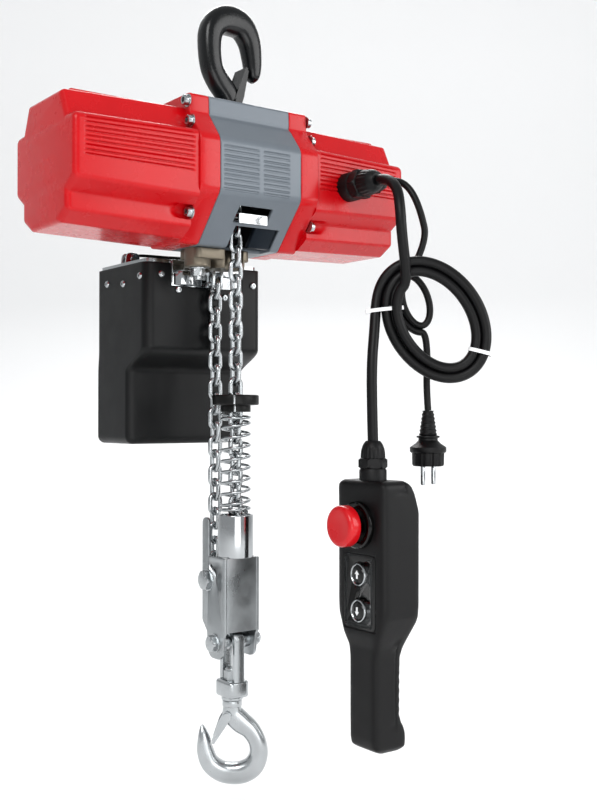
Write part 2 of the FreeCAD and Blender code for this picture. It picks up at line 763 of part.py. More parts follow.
def block_tube():
    length = tube_top_z - tube_bottom_z
    return ring(vec(0, live_y, tube_bottom_z), AZ, tube_r, tube_r - tube_wall, length)


def block_frame():
    front, rear = -34.5, 9.0
    side = [(front, tube_bottom_z, 1), (front, -454, 2), (-32, -458, 5), (-29, -482, 10), (-3, -482, 10),
            (0, -456, 6), (rear, -446, 6), (rear, -341, 6), (live_y + tube_r + 0.4, -341, 5),
            (live_y + tube_r + 0.4, tube_bottom_z, 1)]
    shape = block(-block_half_x, block_half_x, front, front + plate_t, -454, tube_bottom_z)
    for x0 in (-block_half_x, block_half_x - plate_t):
        cheek = plate([(vec(x0, y, z), r) for y, z, r in side], vec(plate_t, 0, 0))
        arc = ring(vec(x0 - 1, idler_y, idler_z), AX, 17.5, 14.5, plate_t + 2)
        wedge = plate([(vec(x0 - 1, idler_y, idler_z), 0), (vec(x0 - 1, idler_y - 30, idler_z + 8), 0),
                       (vec(x0 - 1, idler_y - 8, idler_z + 30), 0)], vec(plate_t + 2, 0, 0))
        shape = shape.fuse(cheek.cut(arc.common(wedge)))
    shape = shape.cut(rod(vec(-30, idler_y, idler_z), AX, axle_r, 60))
    return shape.cut(rod(vec(-30, lower_bolt_y, lower_bolt_z), AX, lower_bolt_r, 60))


def bolt_with_nut(y, z, radius, across, tail):
    """A bolt along X through both cheeks, head on the left and lock nut on the right."""
    head = hexagon(vec(-block_half_x - 7, y, z), AX, across, 7)
    stem = rod(vec(-block_half_x, y, z), AX, radius, 2 * block_half_x + tail)
    nut = hexagon(vec(block_half_x, y, z), AX, across, 7)
    dome = rod(vec(block_half_x + 7, y, z), AX, across / 2 - 1, 3)
    return joined([head, stem, nut, dome])


def block_bolts():
    inner = block_half_x - plate_t
    spacers = [ring(vec(x, lower_bolt_y, lower_bolt_z), AX, 8, lower_bolt_r, inner - yoke_strap_x / 2 - 0.5)
               for x in (-inner, yoke_strap_x / 2 + 0.5)]
    bush = ring(vec(-yoke_strap_x / 2 - 0.4, lower_bolt_y, lower_bolt_z), AX, yoke_half - strap_t / 2 - 0.05,
                lower_bolt_r, yoke_strap_x + 0.8)
    return grouped([bolt_with_nut(idler_y, idler_z, axle_r, 18, 9),
                    bolt_with_nut(lower_bolt_y, lower_bolt_z, lower_bolt_r, 15, 8), bush] + spacers)


def idler_sheave():
    wheel = chain_wheel(idler_y, idler_z, 12.5, idler_flat + 1.0, idler_standing - chain_width / 2 - 0.5,
                        idler_flat, 90, 45, 0.45)
    hub = rod(vec(-block_half_x + plate_t + 0.3, idler_y, idler_z), AX, 9, 2 * (block_half_x - plate_t - 0.3))
    return joined([wheel, hub]).cut(rod(vec(-40, idler_y, idler_z), AX, axle_r + running_gap, 80))


yoke_strap_x = 12.0


def hook_yoke():
    """The strap that loops over the lower bolt, and the block that the hook turns in."""
    y, z = lower_bolt_y, lower_bolt_z
    loop = ring(vec(-yoke_strap_x / 2, y, z), AX, yoke_half + strap_t / 2, yoke_half - strap_t / 2, yoke_strap_x)
    loop = loop.common(block(-20, 20, y - 20, y + 20, z, z + 20))
    legs = [block(-yoke_strap_x / 2, yoke_strap_x / 2, y + s - strap_t / 2, y + s + strap_t / 2,
                  yoke_base_z[0] + 3, z) for s in (-yoke_half, yoke_half)]
    base = block(-13, 13, y - 15, y + 15, yoke_base_z[0], yoke_base_z[1])
    base = base.makeFillet(2, base.Edges)
    base = base.fuse(rod(vec(0, y, yoke_base_z[0] - 3), AZ, 11, 4))
    return joined([loop, base] + legs).cut(rod(vec(0, y, -540), AZ, 7 + running_gap, 60))


def turned(shape):
    """Turns a load-hook piece about the shank and moves it under the yoke."""
    shape.rotate(vec(0, 0, 0), AZ, hook_turn_deg)
    shape.translate(vec(0, lower_bolt_y, 0))
    return shape


load_pivot = vec(-5, 0, -541)
load_tip = vec(-19.8, 0, -567)


def load_hook():
    outline = [(9, load_hook_top_z, 0), (12, -541, 8), (35, -554, 22), (36, -610, 33), (-35, -610, 33),
               (-36, -568, 8), (-31, -550, 3.2), (-18.5, -572, 6), (-17.5, -589, 14), (17.5, -589, 17),
               (18, -557, 12), (-3, -549, 4), (-9, -541, 4), (-9, load_hook_top_z, 0)]
    body = forged(outline, hook_thickness, hook_round)
    collar = rod(vec(0, 0, -532), AZ, 10, 6.7)
    shank = rod(vec(0, 0, -532), AZ, 7, 39)
    hole = rod(vec(load_pivot.x, -20, load_pivot.z), AY, 2.5, 40)
    return joined([body, collar, shank]).cut(hole)


def load_hook_nut():
    nut = hexagon(vec(0, 0, yoke_base_z[1] + 0.3), AZ, 15, 9)
    return nut.cut(rod(vec(0, 0, -510), AZ, 7, 30))


# ---- pendant

def pendant_body():
    front = [(36, pendant_top_z, 10), (36, -434, 14), (20, handle_z, 12), (20, pendant_top_z - pendant_height, 9)]
    points = [(vec(0, y, z), r) for y, z, r in front] + [(vec(0, -y, z), r) for y, z, r in reversed(front)]
    across = plate(points, vec(200, 0, 0))
    bottom = pendant_top_z - pendant_height
    side = [(face_x, pendant_top_z, 6), (back_x - 10, pendant_top_z, 8), (back_x, -328, 14),
            (back_x, -437, 22), (handle_back_x - 1, -468, 18), (handle_back_x - 1, -531, 6),
            (handle_back_x + 7, -543, 5), (handle_back_x + 7, bottom + 3, 5), (face_x + 14, bottom, 6),
            (face_x + 3, bottom + 8, 6), (face_x + 3, handle_z, 6), (face_x, -449, 6)]
    along = plate([(vec(x, -60, z), r) for x, z, r in side], vec(0, 120, 0))
    return across.common(along)


def pendant_half(front):
    body = pendant_body()
    inner = block(face_x + 3, back_x - 14, -29, 29, -439, pendant_top_z - 4)
    inner = inner.fuse(block(face_x + 3, back_x - 4, -29, 29, -431, -335))
    body = body.cut(inner)
    body = body.cut(rod(vec(pendant_gland_x, 0, pendant_top_z - 6), AZ, 8, 10))
    keep = block(0, seam_x, -80, 80, -600, -200) if front else block(seam_x, 200, -80, 80, -600, -200)
    body = body.common(keep)
    if front:
        panel = [(vec(face_x - 1, y, z), 5) for y, z in ((-25, -372), (25, -372), (25, -444), (-25, -444))]
        body = body.cut(plate(panel, vec(2.2, 0, 0)))
        body = body.cut(rod(vec(face_x - 5, 0, estop_z), AX, 9, 20))
        for z in (up_z, down_z):
            body = body.cut(rod(vec(face_x - 5, 0, z), AX, button_r + 0.3, 20))
    body.translate(vec(0, pendant_y, 0))
    return body


def pendant_gland():
    x, y = pendant_gland_x, pendant_y
    parts = [rod(vec(x, y, pendant_top_z - 3), AZ, 7.9, 6), rod(vec(x, y, pendant_top_z), AZ, 14, 4),
             hexagon(vec(x, y, pendant_top_z + 6), AZ, 22, 7), rod(vec(x, y, pendant_top_z + 3), AZ, 10, 4),
             Part.makeCone(12.5, 8, 20, vec(x, y, pendant_top_z + 13), AZ),
             rod(vec(x, y, pendant_top_z + 32), AZ, 7.4, 6)]
    return joined(parts).cut(rod(vec(x, y, pendant_top_z + 25), AZ, cable_r, 20))


def at_pendant(shape):
    shape.translate(vec(0, pendant_y, 0))
    return shape


def button(z):
    cap = rod(vec(face_x - 1.5, 0, z), AX, button_r, 8)
    flange = rod(vec(face_x + 4, 0, z), AX, button_r + 1.5, 2.5)
    stem = rod(vec(face_x + 6, 0, z), AX, 2.5, 5)
    return at_pendant(joined([cap, flange, stem]))


def switch_block():
    body = block(face_x + 15.5, face_x + 29, -14, 14, -437, -326)
    for z in (up_z, down_z, estop_z):
        body = body.cut(rod(vec(face_x + 14, 0, z), AX, 4, 8))
    return at_pendant(body)


def estop_stem():
    collar = rod(vec(face_x - 8, 0, estop_z), AX, 8.6, 18)
    tip = rod(vec(face_x + 9, 0, estop_z), AX, 3.5, 8)
    return at_pendant(joined([collar, tip]).cut(rod(vec(face_x - 9, 0, estop_z), AX, 4.05, 12)))


def estop_head():
    head = rod(vec(face_x - 26, 0, estop_z), AX, 20, 13)
    head = head.makeFillet(4, [e for e in head.Edges if e.BoundBox.XMax < face_x - 20 and e.BoundBox.YLength > 5])
    skirt = rod(vec(face_x - 13, 0, estop_z), AX, 15, 4)
    stem = rod(vec(face_x - 12, 0, estop_z), AX, 4, 14)
    return at_pendant(joined([head, skirt, stem]))


def estop_collar_on(front):
    """The dark ring under the emergency stop, moulded on the front shell."""
    collar = ring(vec(face_x - 5, pendant_y, estop_z), AX, 23, 16, 6)
    return front.fuse(collar)


# ---- cables

def gland(x, z, base_r, across, length, bore, seat_r):
    """A cable gland on the right cover's front: threaded foot, body, hexagon and dome."""
    front = -67.0
    parts = [rod(vec(x, front + 6, z), vec(0, -1, 0), seat_r, 8),
             rod(vec(x, front, z), vec(0, -1, 0), base_r, length * 0.3),
             hexagon(vec(x, front - length * 0.3, z), vec(0, -1, 0), across, length * 0.32),
             Part.makeCone(across / 2, bore + 3, length * 0.38, vec(x, front - length * 0.62, z), vec(0, -1, 0))]
    return joined(parts).cut(rod(vec(x, front - length * 0.7, z), vec(0, -1, 0), bore, length))


gland_length = 50.0
lead_gland_length = 28.0
cable_start = (gland_x, -67.0 - gland_length, gland_z)
lead_start = (lead_gland_x, -67.0 - lead_gland_length, lead_gland_z)
coil_centre = vec(145.0, -160.0, -144.0)
loops_centre = vec(147.0, -134.0, -121.0)
view_turn = -36.1            # the coils hang turned about Z from the body's front
coil_major, coil_minor, coil_lean = 69.0, 52.0, 35.0
cable_top_points = [cable_start, (110, -130, 0), (105, -151, -13), (99, -162, -35), (100, -163, -60),
                    (109, -151, -86)]
cable_tail_points = [(103, -129, -120), (96, -127, -150), (89, -131, -184), (86.5, -134, -223),
                     (pendant_gland_x, pendant_y, pendant_top_z + 38)]
lead_top_points = [lead_start, (137.5, -107, 5.5), (140, -122, 0), (144, -132, -13), (149, -138, -34),
                   (154, -140, -58), (155, -141, -86)]
lead_tail_points = [(153, -139, -153), (154, -141, -178), (153, -140, -206), (154.5, -141, -232)]
plug_top = vec(154.5, -141, -232)
pin_turn = view_turn + 50.0   # direction from one plug pin to the other


def oval_ring(centre, major, minor, bore_major, bore_minor, lean, depth):
    """An oval ring that faces the viewer of the hoist's front left, leaning in its own plane."""
    def oval(a, b):
        curve = Part.Ellipse(vec(0, 0, 0), a, b)
        return Part.Face(Part.Wire(curve.toShape())).extrude(vec(0, 0, depth))
    body = oval(major, minor)
    if bore_major:
        body = body.cut(oval(bore_major, bore_minor))
    body.translate(vec(0, 0, -depth / 2))
    body.rotate(vec(0, 0, 0), AZ, 90 + lean)
    body.rotate(vec(0, 0, 0), AX, 90)
    body.rotate(vec(0, 0, 0), AZ, view_turn)
    body.translate(centre)
    return body


def plug_body():
    """An earthed two-pin plug with its strain relief, pins pointing down."""
    x, y, z = plug_top
    relief = Part.makeCone(8, 5.4, 24, vec(x, y, z - 24), AZ)
    body = Part.makeCone(13, 9, 10, vec(x, y, z - 32), AZ)
    grip = rod(vec(x, y, z - 56), AZ, 18.3, 25)
    grip = grip.makeFillet(3, [e for e in grip.Edges if e.BoundBox.ZLength < 0.1 and e.BoundBox.ZMin > z - 40])
    return joined([relief, body, grip])


def plug_pins():
    x, y, z = plug_top
    across = vec(math.cos(math.radians(pin_turn)), math.sin(math.radians(pin_turn)), 0)
    return grouped([rod(vec(x, y, z - 75) + across * s, AZ, 2.4, 19) for s in (-9.5, 9.5)])


# ---- the pieces

latch_args = (hook_thickness / 2, latch_gap, latch_plate, 2.5)
load_latch = turned(latch(load_pivot, load_tip, *latch_args))
load_latch_pin = turned(latch_pin(load_pivot, latch_half, 2.5, 4.2))
top_latch = latch(top_pivot, top_tip, *latch_args)
top_latch_pin = latch_pin(top_pivot, latch_half, 2.5, 4.2)
top_pieces = {"top_hook": top_hook(), "top_hook_nut": top_hook_nut(), "top_hook_latch": top_latch,
              "top_latch_pin": top_latch_pin}
for name, shape in top_pieces.items():
    shape.translate(vec(hook_x, 0, 0))

nodes = dict(top_pieces)
nodes.update({
    "center_housing": center_housing(), "left_cover": cover(-1, left_end_x),
    "right_cover": cover(1, right_end_x), "cover_screws": cover_screws(),
    "gearbox_plate": gearbox_plate(), "motor_shield": motor_shield(), "stator_core": stator_core(),
    "stator_windings": stator_windings(), "brake_coil": brake_coil(), "brake_armature": brake_armature(),
    "brake_disc": brake_disc(), "shaft_bearings": shaft_bearings(), "rotor": rotor(),
    "countershaft": countershaft(), "output_gear": output_gear(), "load_sheave": load_sheave(),
    "control_board": control_board(), "limit_switch": limit_switch(), "limit_lever": limit_lever(),
    "chain_guide": chain_guide(), "chain_anchor": chain_anchor(), "chain_container": chain_container(),
    "container_frame": container_frame(), "container_screws": container_screws(),
    "stored_chain": stored_chain(), "drive_chain": drive_chain(), "load_chain": load_chain(),
    "bumper": bumper(), "bumper_spring": bumper_spring(), "block_tube": block_tube(),
    "block_frame": block_frame(), "block_bolts": block_bolts(), "idler_sheave": idler_sheave(),
    "hook_yoke": hook_yoke(), "load_hook": turned(load_hook()), "load_hook_nut": turned(load_hook_nut()),
    "load_hook_latch": load_latch, "load_latch_pin": load_latch_pin,
    "pendant_front": estop_collar_on(pendant_half(True)), "pendant_back": pendant_half(False),
    "pendant_gland": pendant_gland(), "switch_block": switch_block(),
    "up_button": button(up_z), "down_button": button(down_z), "estop_stem": estop_stem(),
    "estop_head": estop_head(),
    "cable_gland": gland(gland_x, gland_z, 15, 28, gland_length, cable_r, 12),
    "lead_gland": gland(lead_gland_x, lead_gland_z, 10, 18, lead_gland_length, lead_r, 8),
    "pendant_cable_top": cord(cable_top_points, cable_r),
    "pendant_cable_coil": oval_ring(coil_centre, coil_major, coil_minor, coil_major - 25, coil_minor - 25,
                                    coil_lean, 24),
    "pendant_cable_tail": cord(cable_tail_points, cable_r),
    "mains_lead_top": cord(lead_top_points, lead_r),
    "mains_lead_loops": oval_ring(loops_centre, 33, 18, 0, 0, 12, 14),
    "mains_lead_tail": cord(lead_tail_points, lead_r),
    "plug_body": plug_body(), "plug_pins": plug_pins(),
})
for name, shape in nodes.items():
    save(name, shape)
print(len(nodes), "nodes")
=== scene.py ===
import math

import bmesh
import bpy
import numpy as np
from mathutils import Matrix, Vector


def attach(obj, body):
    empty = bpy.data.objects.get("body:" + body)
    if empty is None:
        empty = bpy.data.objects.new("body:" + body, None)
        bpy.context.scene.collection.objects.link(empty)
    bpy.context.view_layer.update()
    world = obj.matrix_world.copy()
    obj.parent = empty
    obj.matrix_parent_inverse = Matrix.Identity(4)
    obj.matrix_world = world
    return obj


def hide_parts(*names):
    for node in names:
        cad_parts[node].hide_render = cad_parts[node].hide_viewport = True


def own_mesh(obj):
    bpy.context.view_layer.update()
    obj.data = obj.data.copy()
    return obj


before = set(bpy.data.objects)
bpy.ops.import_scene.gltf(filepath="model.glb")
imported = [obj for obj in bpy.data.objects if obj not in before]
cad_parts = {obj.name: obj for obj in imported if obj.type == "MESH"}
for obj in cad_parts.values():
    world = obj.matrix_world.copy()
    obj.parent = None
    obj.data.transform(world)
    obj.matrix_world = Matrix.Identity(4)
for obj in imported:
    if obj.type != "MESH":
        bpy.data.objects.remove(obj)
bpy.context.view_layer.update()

TAU = 2 * math.pi
ORIGIN = np.array([-6.0, 0.0, -158.0])


def row(points):
    """Sheave frame in mm to row frame in metres: p' = (p + (-6, 0, -158)) / 1000."""
    return (np.asarray(points, float) + ORIGIN) * 0.001


# %% [markdown]
# ## Surfaces
# A shape is a pair: an (n, 3) array of points and a list of face index arrays. Every builder below fills
# its points from a formula over a grid of parameters, and `piece` turns a list of shapes into an object.
# %% Surface builders
def turn(axis, degrees):
    """Rotation matrix about a unit axis by Rodrigues: R = I + sin(a) K + (1 - cos(a)) K K."""
    x, y, z = np.asarray(axis, float) / np.linalg.norm(axis)
    k = np.array([[0, -z, y], [z, 0, -x], [-y, x, 0]])
    a = math.radians(degrees)
    return np.eye(3) + math.sin(a) * k + (1 - math.cos(a)) * k @ k


def grid(points, close_u=False, close_v=False, caps=False):
    """Quads over P(u, v), an (nu, nv, 3) array; caps closes the first and last rows with polygons."""
    nu, nv = points.shape[:2]
    i = np.arange(nu if close_u else nu - 1)[:, None]
    j = np.arange(nv if close_v else nv - 1)[None, :]
    i2, j2 = (i + 1) % nu, (j + 1) % nv
    quads = np.stack([i * nv + j, i * nv + j2, i2 * nv + j2, i2 * nv + j], axis=-1).reshape(-1, 4)
    faces = [quads]
    if caps:
        faces += [np.arange(nv)[None, ::-1], (np.arange(nv) + (nu - 1) * nv)[None, :]]
    return points.reshape(-1, 3), faces


def moved(shape, by=(0, 0, 0), matrix=None):
    """p' = M p + t for every point of the shape."""
    points, faces = shape
    if matrix is not None:
        points = points @ np.asarray(matrix).T
    return points + np.asarray(by, float), faces


def merged(shapes):
    """One shape from several: points are stacked and face indices shifted."""
    points, faces, start = [], [], 0
    for p, f in shapes:
        points.append(p)
        faces += [g + start for g in f]
        start += len(p)
    return np.concatenate(points), faces


def outline(corners, per=7):
    """Closed rounded polygon: each corner (a, b, r) becomes per points on the arc of radius r that
    touches both sides, c + r (cos t, sin t)."""
    c = np.array([k[:2] for k in corners], float)
    radius = np.maximum(np.array([k[2] for k in corners], float), 0.05)[:, None]
    before, after = np.roll(c, 1, axis=0) - c, np.roll(c, -1, axis=0) - c
    before /= np.linalg.norm(before, axis=1, keepdims=True)
    after /= np.linalg.norm(after, axis=1, keepdims=True)
    half = np.arccos(np.clip((before * after).sum(1), -1, 1))[:, None] / 2
    middle = before + after
    middle /= np.maximum(np.linalg.norm(middle, axis=1, keepdims=True), 1e-9)
    centre = c + middle * radius / np.sin(half)
    start = c + before * radius / np.tan(half) - centre
    swing = np.pi - 2 * half
    sign = np.sign(before[:, :1] * after[:, 1:] - before[:, 1:] * after[:, :1])
    t = -np.linspace(0, 1, per)[None, :] * swing * sign
    x = centre[:, :1] + start[:, :1] * np.cos(t) - start[:, 1:] * np.sin(t)
    y = centre[:, 1:] + start[:, :1] * np.sin(t) + start[:, 1:] * np.cos(t)
    return np.stack([x, y], axis=-1).reshape(-1, 2)


def resampled(loop, step):
    """The closed loop again with points about every step along it, its corners kept."""
    nxt = np.roll(loop, -1, axis=0)
    count = np.maximum(1, np.ceil(np.linalg.norm(nxt - loop, axis=1) / step).astype(int))
    t = np.concatenate([np.arange(n) / n for n in count])[:, None]
    index = np.repeat(np.arange(len(loop)), count)
    return loop[index] * (1 - t) + nxt[index] * t


def normals(loop):
    """Unit normals of a closed plane loop, to the outside: the tangent turned by a quarter."""
    tangent = np.roll(loop, -1, axis=0) - np.roll(loop, 1, axis=0)
    tangent /= np.maximum(np.linalg.norm(tangent, axis=1, keepdims=True), 1e-12)
    area = (loop[:, 0] * np.roll(loop[:, 1], -1) - loop[:, 1] * np.roll(loop[:, 0], -1)).sum()
    return np.stack([tangent[:, 1], -tangent[:, 0]], axis=1) * np.sign(area)


PLANES = {"x": (2, 0, 1), "y": (0, 2, 1), "z": (0, 1, 2)}


def lift(loops, depths, plane):
    """Stacks plane loops (k, n, 2) at depths (k) along the plane's axis: (a, b, s) laid in as xyz."""
    depth = np.broadcast_to(np.asarray(depths, float)[:, None, None], loops.shape[:2] + (1,))
    return np.concatenate([loops, depth], axis=-1)[..., PLANES[plane]]


def slab(loop, plane, low, high, edge=0.6, steps=3):
    """The loop pushed from low to high, with both rims rounded by a quarter circle of radius edge:
    inset e (1 - sin t) at depth e (1 - cos t)."""
    t = np.linspace(0, math.pi / 2, steps + 1)
    inset, depth = edge * (1 - np.sin(t)), edge * (1 - np.cos(t))
    inset = np.concatenate([inset, inset[::-1]])
    depth = np.concatenate([low + depth, high - depth[::-1]])
    loops = loop[None] - inset[:, None, None] * normals(loop)[None]
    return grid(lift(loops, depth, plane), close_v=True, caps=True)


def axis_frame(axis):
    """Two unit vectors square to axis and the axis itself, as the columns of a matrix."""
    w = np.asarray(axis, float) / np.linalg.norm(axis)
    u = np.cross(w, (0, 0, 1) if abs(w[2]) < 0.9 else (1, 0, 0))
    u /= np.linalg.norm(u)
    return np.stack([u, np.cross(w, u), w], axis=1)


def lathe(profile, origin=(0, 0, 0), axis=(0, 0, 1), n=56, closed=False):
    """Surface of revolution: P(s, t) = o + r(s) (u cos t + v sin t) + h(s) w."""
    r, h = np.array(profile, float).T[:, :, None]
    t = np.linspace(0, TAU, n, endpoint=False)[None, :]
    local = np.stack([r * np.cos(t), r * np.sin(t), h + 0 * t], axis=-1)
    return grid(local @ axis_frame(axis).T + np.asarray(origin, float), close_u=closed, close_v=True)


def rod(radius, length, origin, axis, edge=0.4, n=40):
    """A round bar with rounded rims, from origin along axis."""
    t = np.linspace(0, math.pi / 2, 4)
    low = np.stack([radius - edge + edge * np.sin(t), edge - edge * np.cos(t)], axis=1)
    high = np.stack([low[::-1, 0], length - low[::-1, 1]], axis=1)
    return lathe(np.concatenate([[[0, 0]], low, high, [[0, length]]]), origin, axis, n)


def collar(outer, inner, length, origin, axis, edge=0.4, n=48):
    """A ring with a rounded square section, as a closed profile turned about the axis."""
    section = outline([(inner, 0, edge), (outer, 0, edge), (outer, length, edge), (inner, length, edge)], 4)
    return lathe(section, origin, axis, n, closed=True)


def nut(across, length, origin, axis, bore=0.0, phase=0.0):
    """A hexagon with chamfered corners: r(t, h) is the lesser of the flat's distance d / cos(t mod 60)
    and a cone that starts just outside the flats."""
    t = np.linspace(0, TAU, 72, endpoint=False)
    flat = across / 2 / np.cos((t + phase) % (TAU / 6) - TAU / 12)
    h = np.array([0, 0, 0.06, 0.16, 0.84, 0.94, 1, 1])
    limit = np.array([bore, 0.47, 0.52, 0.6, 0.6, 0.52, 0.47, bore]) * across
    limit[[0, -1]] = bore
    r = np.minimum(flat[None], limit[:, None])
    local = np.stack([r * np.cos(t), r * np.sin(t), (h * length)[:, None] + 0 * r], axis=-1)
    return grid(local @ axis_frame(axis).T + np.asarray(origin, float), close_u=bore > 0, close_v=True)


def sweep(path, radius, n=14, closed=False, up=None):
    """A round tube P(s, t) = c(s) + r (N cos t + B sin t); N is up for a plane path, else it is carried
    along the path by removing its part along each new tangent."""
    path = np.asarray(path, float)
    if closed:
        tangent = np.roll(path, -1, axis=0) - np.roll(path, 1, axis=0)
    else:
        tangent = np.gradient(path, axis=0)
    tangent /= np.linalg.norm(tangent, axis=1, keepdims=True)
    if up is not None:
        first = np.broadcast_to(np.asarray(up, float), path.shape)
    else:
        first = np.empty_like(path)
        carried = axis_frame(tangent[0])[:, 0]
        for k, along in enumerate(tangent):
            carried = carried - along * (carried @ along)
            carried = carried / np.linalg.norm(carried)
            first[k] = carried
    second = np.cross(tangent, first)
    t = np.linspace(0, TAU, n, endpoint=False)[None, :, None]
    radius = np.broadcast_to(np.asarray(radius, float), len(path))[:, None, None]
    points = path[:, None] + radius * (first[:, None] * np.cos(t) + second[:, None] * np.sin(t))
    return grid(points, close_u=closed, close_v=True, caps=not closed)


def piece(name, shapes, material, body, replaces=(), smooth=32):
    """Makes one object from shapes in the sheave frame and lets it ride on a body. material is one
    material, or a list as long as shapes."""
    points, faces = merged(shapes)
    mesh = bpy.data.meshes.new(name)
    loops = np.concatenate([f.ravel() for f in faces]).astype(np.int32)
    sizes = np.concatenate([np.full(len(f), f.shape[1]) for f in faces]).astype(np.int32)
    mesh.vertices.add(len(points))
    mesh.vertices.foreach_set("co", row(points).astype(np.float32).ravel())
    mesh.loops.add(len(loops))
    mesh.loops.foreach_set("vertex_index", loops)
    mesh.polygons.add(len(sizes))
    mesh.polygons.foreach_set("loop_start", np.concatenate([[0], np.cumsum(sizes)[:-1]]).astype(np.int32))
    if isinstance(material, list):
        used = list(dict.fromkeys(material))
        per_shape = [sum(len(f) for f in s[1]) for s in shapes]
        index = np.repeat([used.index(m) for m in material], per_shape).astype(np.int32)
        mesh.polygons.foreach_set("material_index", index)
    else:
        used = [material]
    for m in used:
        mesh.materials.append(m)
    mesh.update(calc_edges=True)
    work = bmesh.new()
    work.from_mesh(mesh)
    bmesh.ops.remove_doubles(work, verts=work.verts, dist=2e-6)
    bmesh.ops.recalc_face_normals(work, faces=work.faces)
    work.to_mesh(mesh)
    work.free()
    mesh.polygons.foreach_set("use_smooth", np.ones(len(mesh.polygons), bool))
    mesh.set_sharp_from_angle(angle=math.radians(smooth))
    made = bpy.data.objects.new(name, mesh)
    bpy.context.scene.collection.objects.link(made)
    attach(made, body)
    if replaces:
        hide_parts(*replaces)
    return made


def cut(target, shapes):
    """Cuts closed shapes out of a piece with an exact Boolean and keeps the result as its mesh."""
    cutter = piece("cutter", shapes, target.data.materials[0], "hoist")
    step = target.modifiers.new("cut", "BOOLEAN")
    step.object, step.operation, step.solver, step.use_self = cutter, "DIFFERENCE", "EXACT", True
    depsgraph = bpy.context.evaluated_depsgraph_get()
    result = bpy.data.meshes.new_from_object(target.evaluated_get(depsgraph))
    target.modifiers.clear()
    target.data = result
    bpy.data.objects.remove(cutter)


# %% [markdown]
# ## Materials
# Every finish is a principled shader with a little procedural noise in object space: colour that drifts,
# roughness that drifts, and a fine bump. Metals keep the default index of refraction.
# %% Materials
def linear(code):
    """sRGB hex to linear light: c / 12.92 below 0.04045, else ((c + 0.055) / 1.055) ** 2.4."""
    c = np.array([int(code[k:k + 2], 16) for k in (1, 3, 5)]) / 255
    c = np.where(c <= 0.04045, c / 12.92, ((c + 0.055) / 1.055) ** 2.4)
    return (*c, 1.0)


def add(tree, kind, settings=None, links=None):
    """Adds one shader node, sets its properties and input values, and links its inputs."""
    node = tree.nodes.new(kind)
    for key, value in (settings or {}).items():
        if isinstance(key, str) and hasattr(node, key):
            setattr(node, key, value)
        else:
            node.inputs[key].default_value = value
    for key, source in (links or {}).items():
        tree.links.new(source, node.inputs[key])
    return node


def finish(name, colour, rough, metal=0.0, coat=0.0, grain=900.0, bump=0.06, drift=0.12, streak=None,
           dull=0.08, deep=None):
    """A finish: base colour with drift towards deep, roughness that wanders by dull, and a grain bump.
    streak stretches the noise along one axis for brushed or drawn metal."""
    material = bpy.data.materials.new(name)
    material.use_nodes = True
    tree = material.node_tree
    shader = tree.nodes["Principled BSDF"]
    place = add(tree, "ShaderNodeTexCoord").outputs["Object"]
    stretch = add(tree, "ShaderNodeMapping", {"Scale": streak or (1.0, 1.0, 1.0)}, {"Vector": place})
    wide = add(tree, "ShaderNodeTexNoise", {"Scale": 28.0, "Detail": 5.0, "Roughness": 0.6},
               {"Vector": stretch.outputs[0]})
    fine = add(tree, "ShaderNodeTexNoise", {"Scale": grain, "Detail": 3.0, "Roughness": 0.55},
               {"Vector": stretch.outputs[0]})
    base = np.array(linear(colour))
    low = np.array(linear(deep)) if deep else base * np.array([1 - drift] * 3 + [1])
    ramp = add(tree, "ShaderNodeValToRGB", None, {"Fac": wide.outputs[0]})
    ramp.color_ramp.elements[0].position = 0.35
    ramp.color_ramp.elements[0].color = tuple(low)
    ramp.color_ramp.elements[1].position = 0.62
    ramp.color_ramp.elements[1].color = tuple(base)
    limits = {"From Min": 0.3, "From Max": 0.7, "To Min": max(rough - dull, 0.03), "To Max": rough + dull}
    wander = add(tree, "ShaderNodeMapRange", limits, {"Value": wide.outputs[0]})
    tree.links.new(ramp.outputs[0], shader.inputs["Base Color"])
    tree.links.new(wander.outputs[0], shader.inputs["Roughness"])
    relief = add(tree, "ShaderNodeBump", {"Strength": bump, "Distance": 0.0006}, {"Height": fine.outputs[0]})
    tree.links.new(relief.outputs[0], shader.inputs["Normal"])
    shader.inputs["Metallic"].default_value = metal
    shader.inputs["Specular IOR Level"].default_value = 0.5 if metal > 0.5 else 0.22
    shader.inputs["Coat Weight"].default_value = coat
    shader.inputs["Coat Roughness"].default_value = 0.12
    return material


red = finish("red_enamel", "#B4040D", 0.27, coat=0.12, grain=420, bump=0.05, drift=0.06, dull=0.03)
grey = finish("grey_enamel", "#646B72", 0.36, metal=0.15, coat=0.15, grain=1400, bump=0.10, drift=0.06,
              dull=0.04)
forged_black = finish("forged_black", "#07090B", 0.28, coat=0.2, grain=330, bump=0.30, drift=0.3)
zinc = finish("bright_zinc", "#B4B8BA", 0.24, metal=1.0, grain=700, bump=0.05, drift=0.18, dull=0.07)
satin = finish("satin_zinc", "#A6AAAC", 0.32, metal=1.0, grain=500, bump=0.08, drift=0.22, dull=0.09)
polished = finish("polished_steel", "#B0B3B5", 0.13, metal=1.0, grain=300, bump=0.04, drift=0.12,
                  streak=(0.15, 0.15, 1.0), dull=0.04)
spring_steel = finish("spring_steel", "#A4A8AA", 0.17, metal=1.0, bump=0.03, drift=0.15)
bronze = finish("cast_bronze", "#756D60", 0.40, metal=0.85, grain=650, bump=0.22, drift=0.25)
iron = finish("dark_iron", "#4A4D50", 0.42, metal=0.9, grain=500, bump=0.2)
copper = finish("wound_copper", "#9A5A35", 0.35, metal=0.8, streak=(0.2, 3.0, 3.0), bump=0.3)
box_black = finish("box_black", "#040506", 0.42, grain=1500, bump=0.12, drift=0.12, dull=0.05)
shell_black = finish("shell_black", "#030304", 0.46, grain=1700, bump=0.16, drift=0.12, dull=0.05)
gloss_black = finish("gloss_black", "#020202", 0.16, coat=0.25, bump=0.01, drift=0.1, dull=0.03)
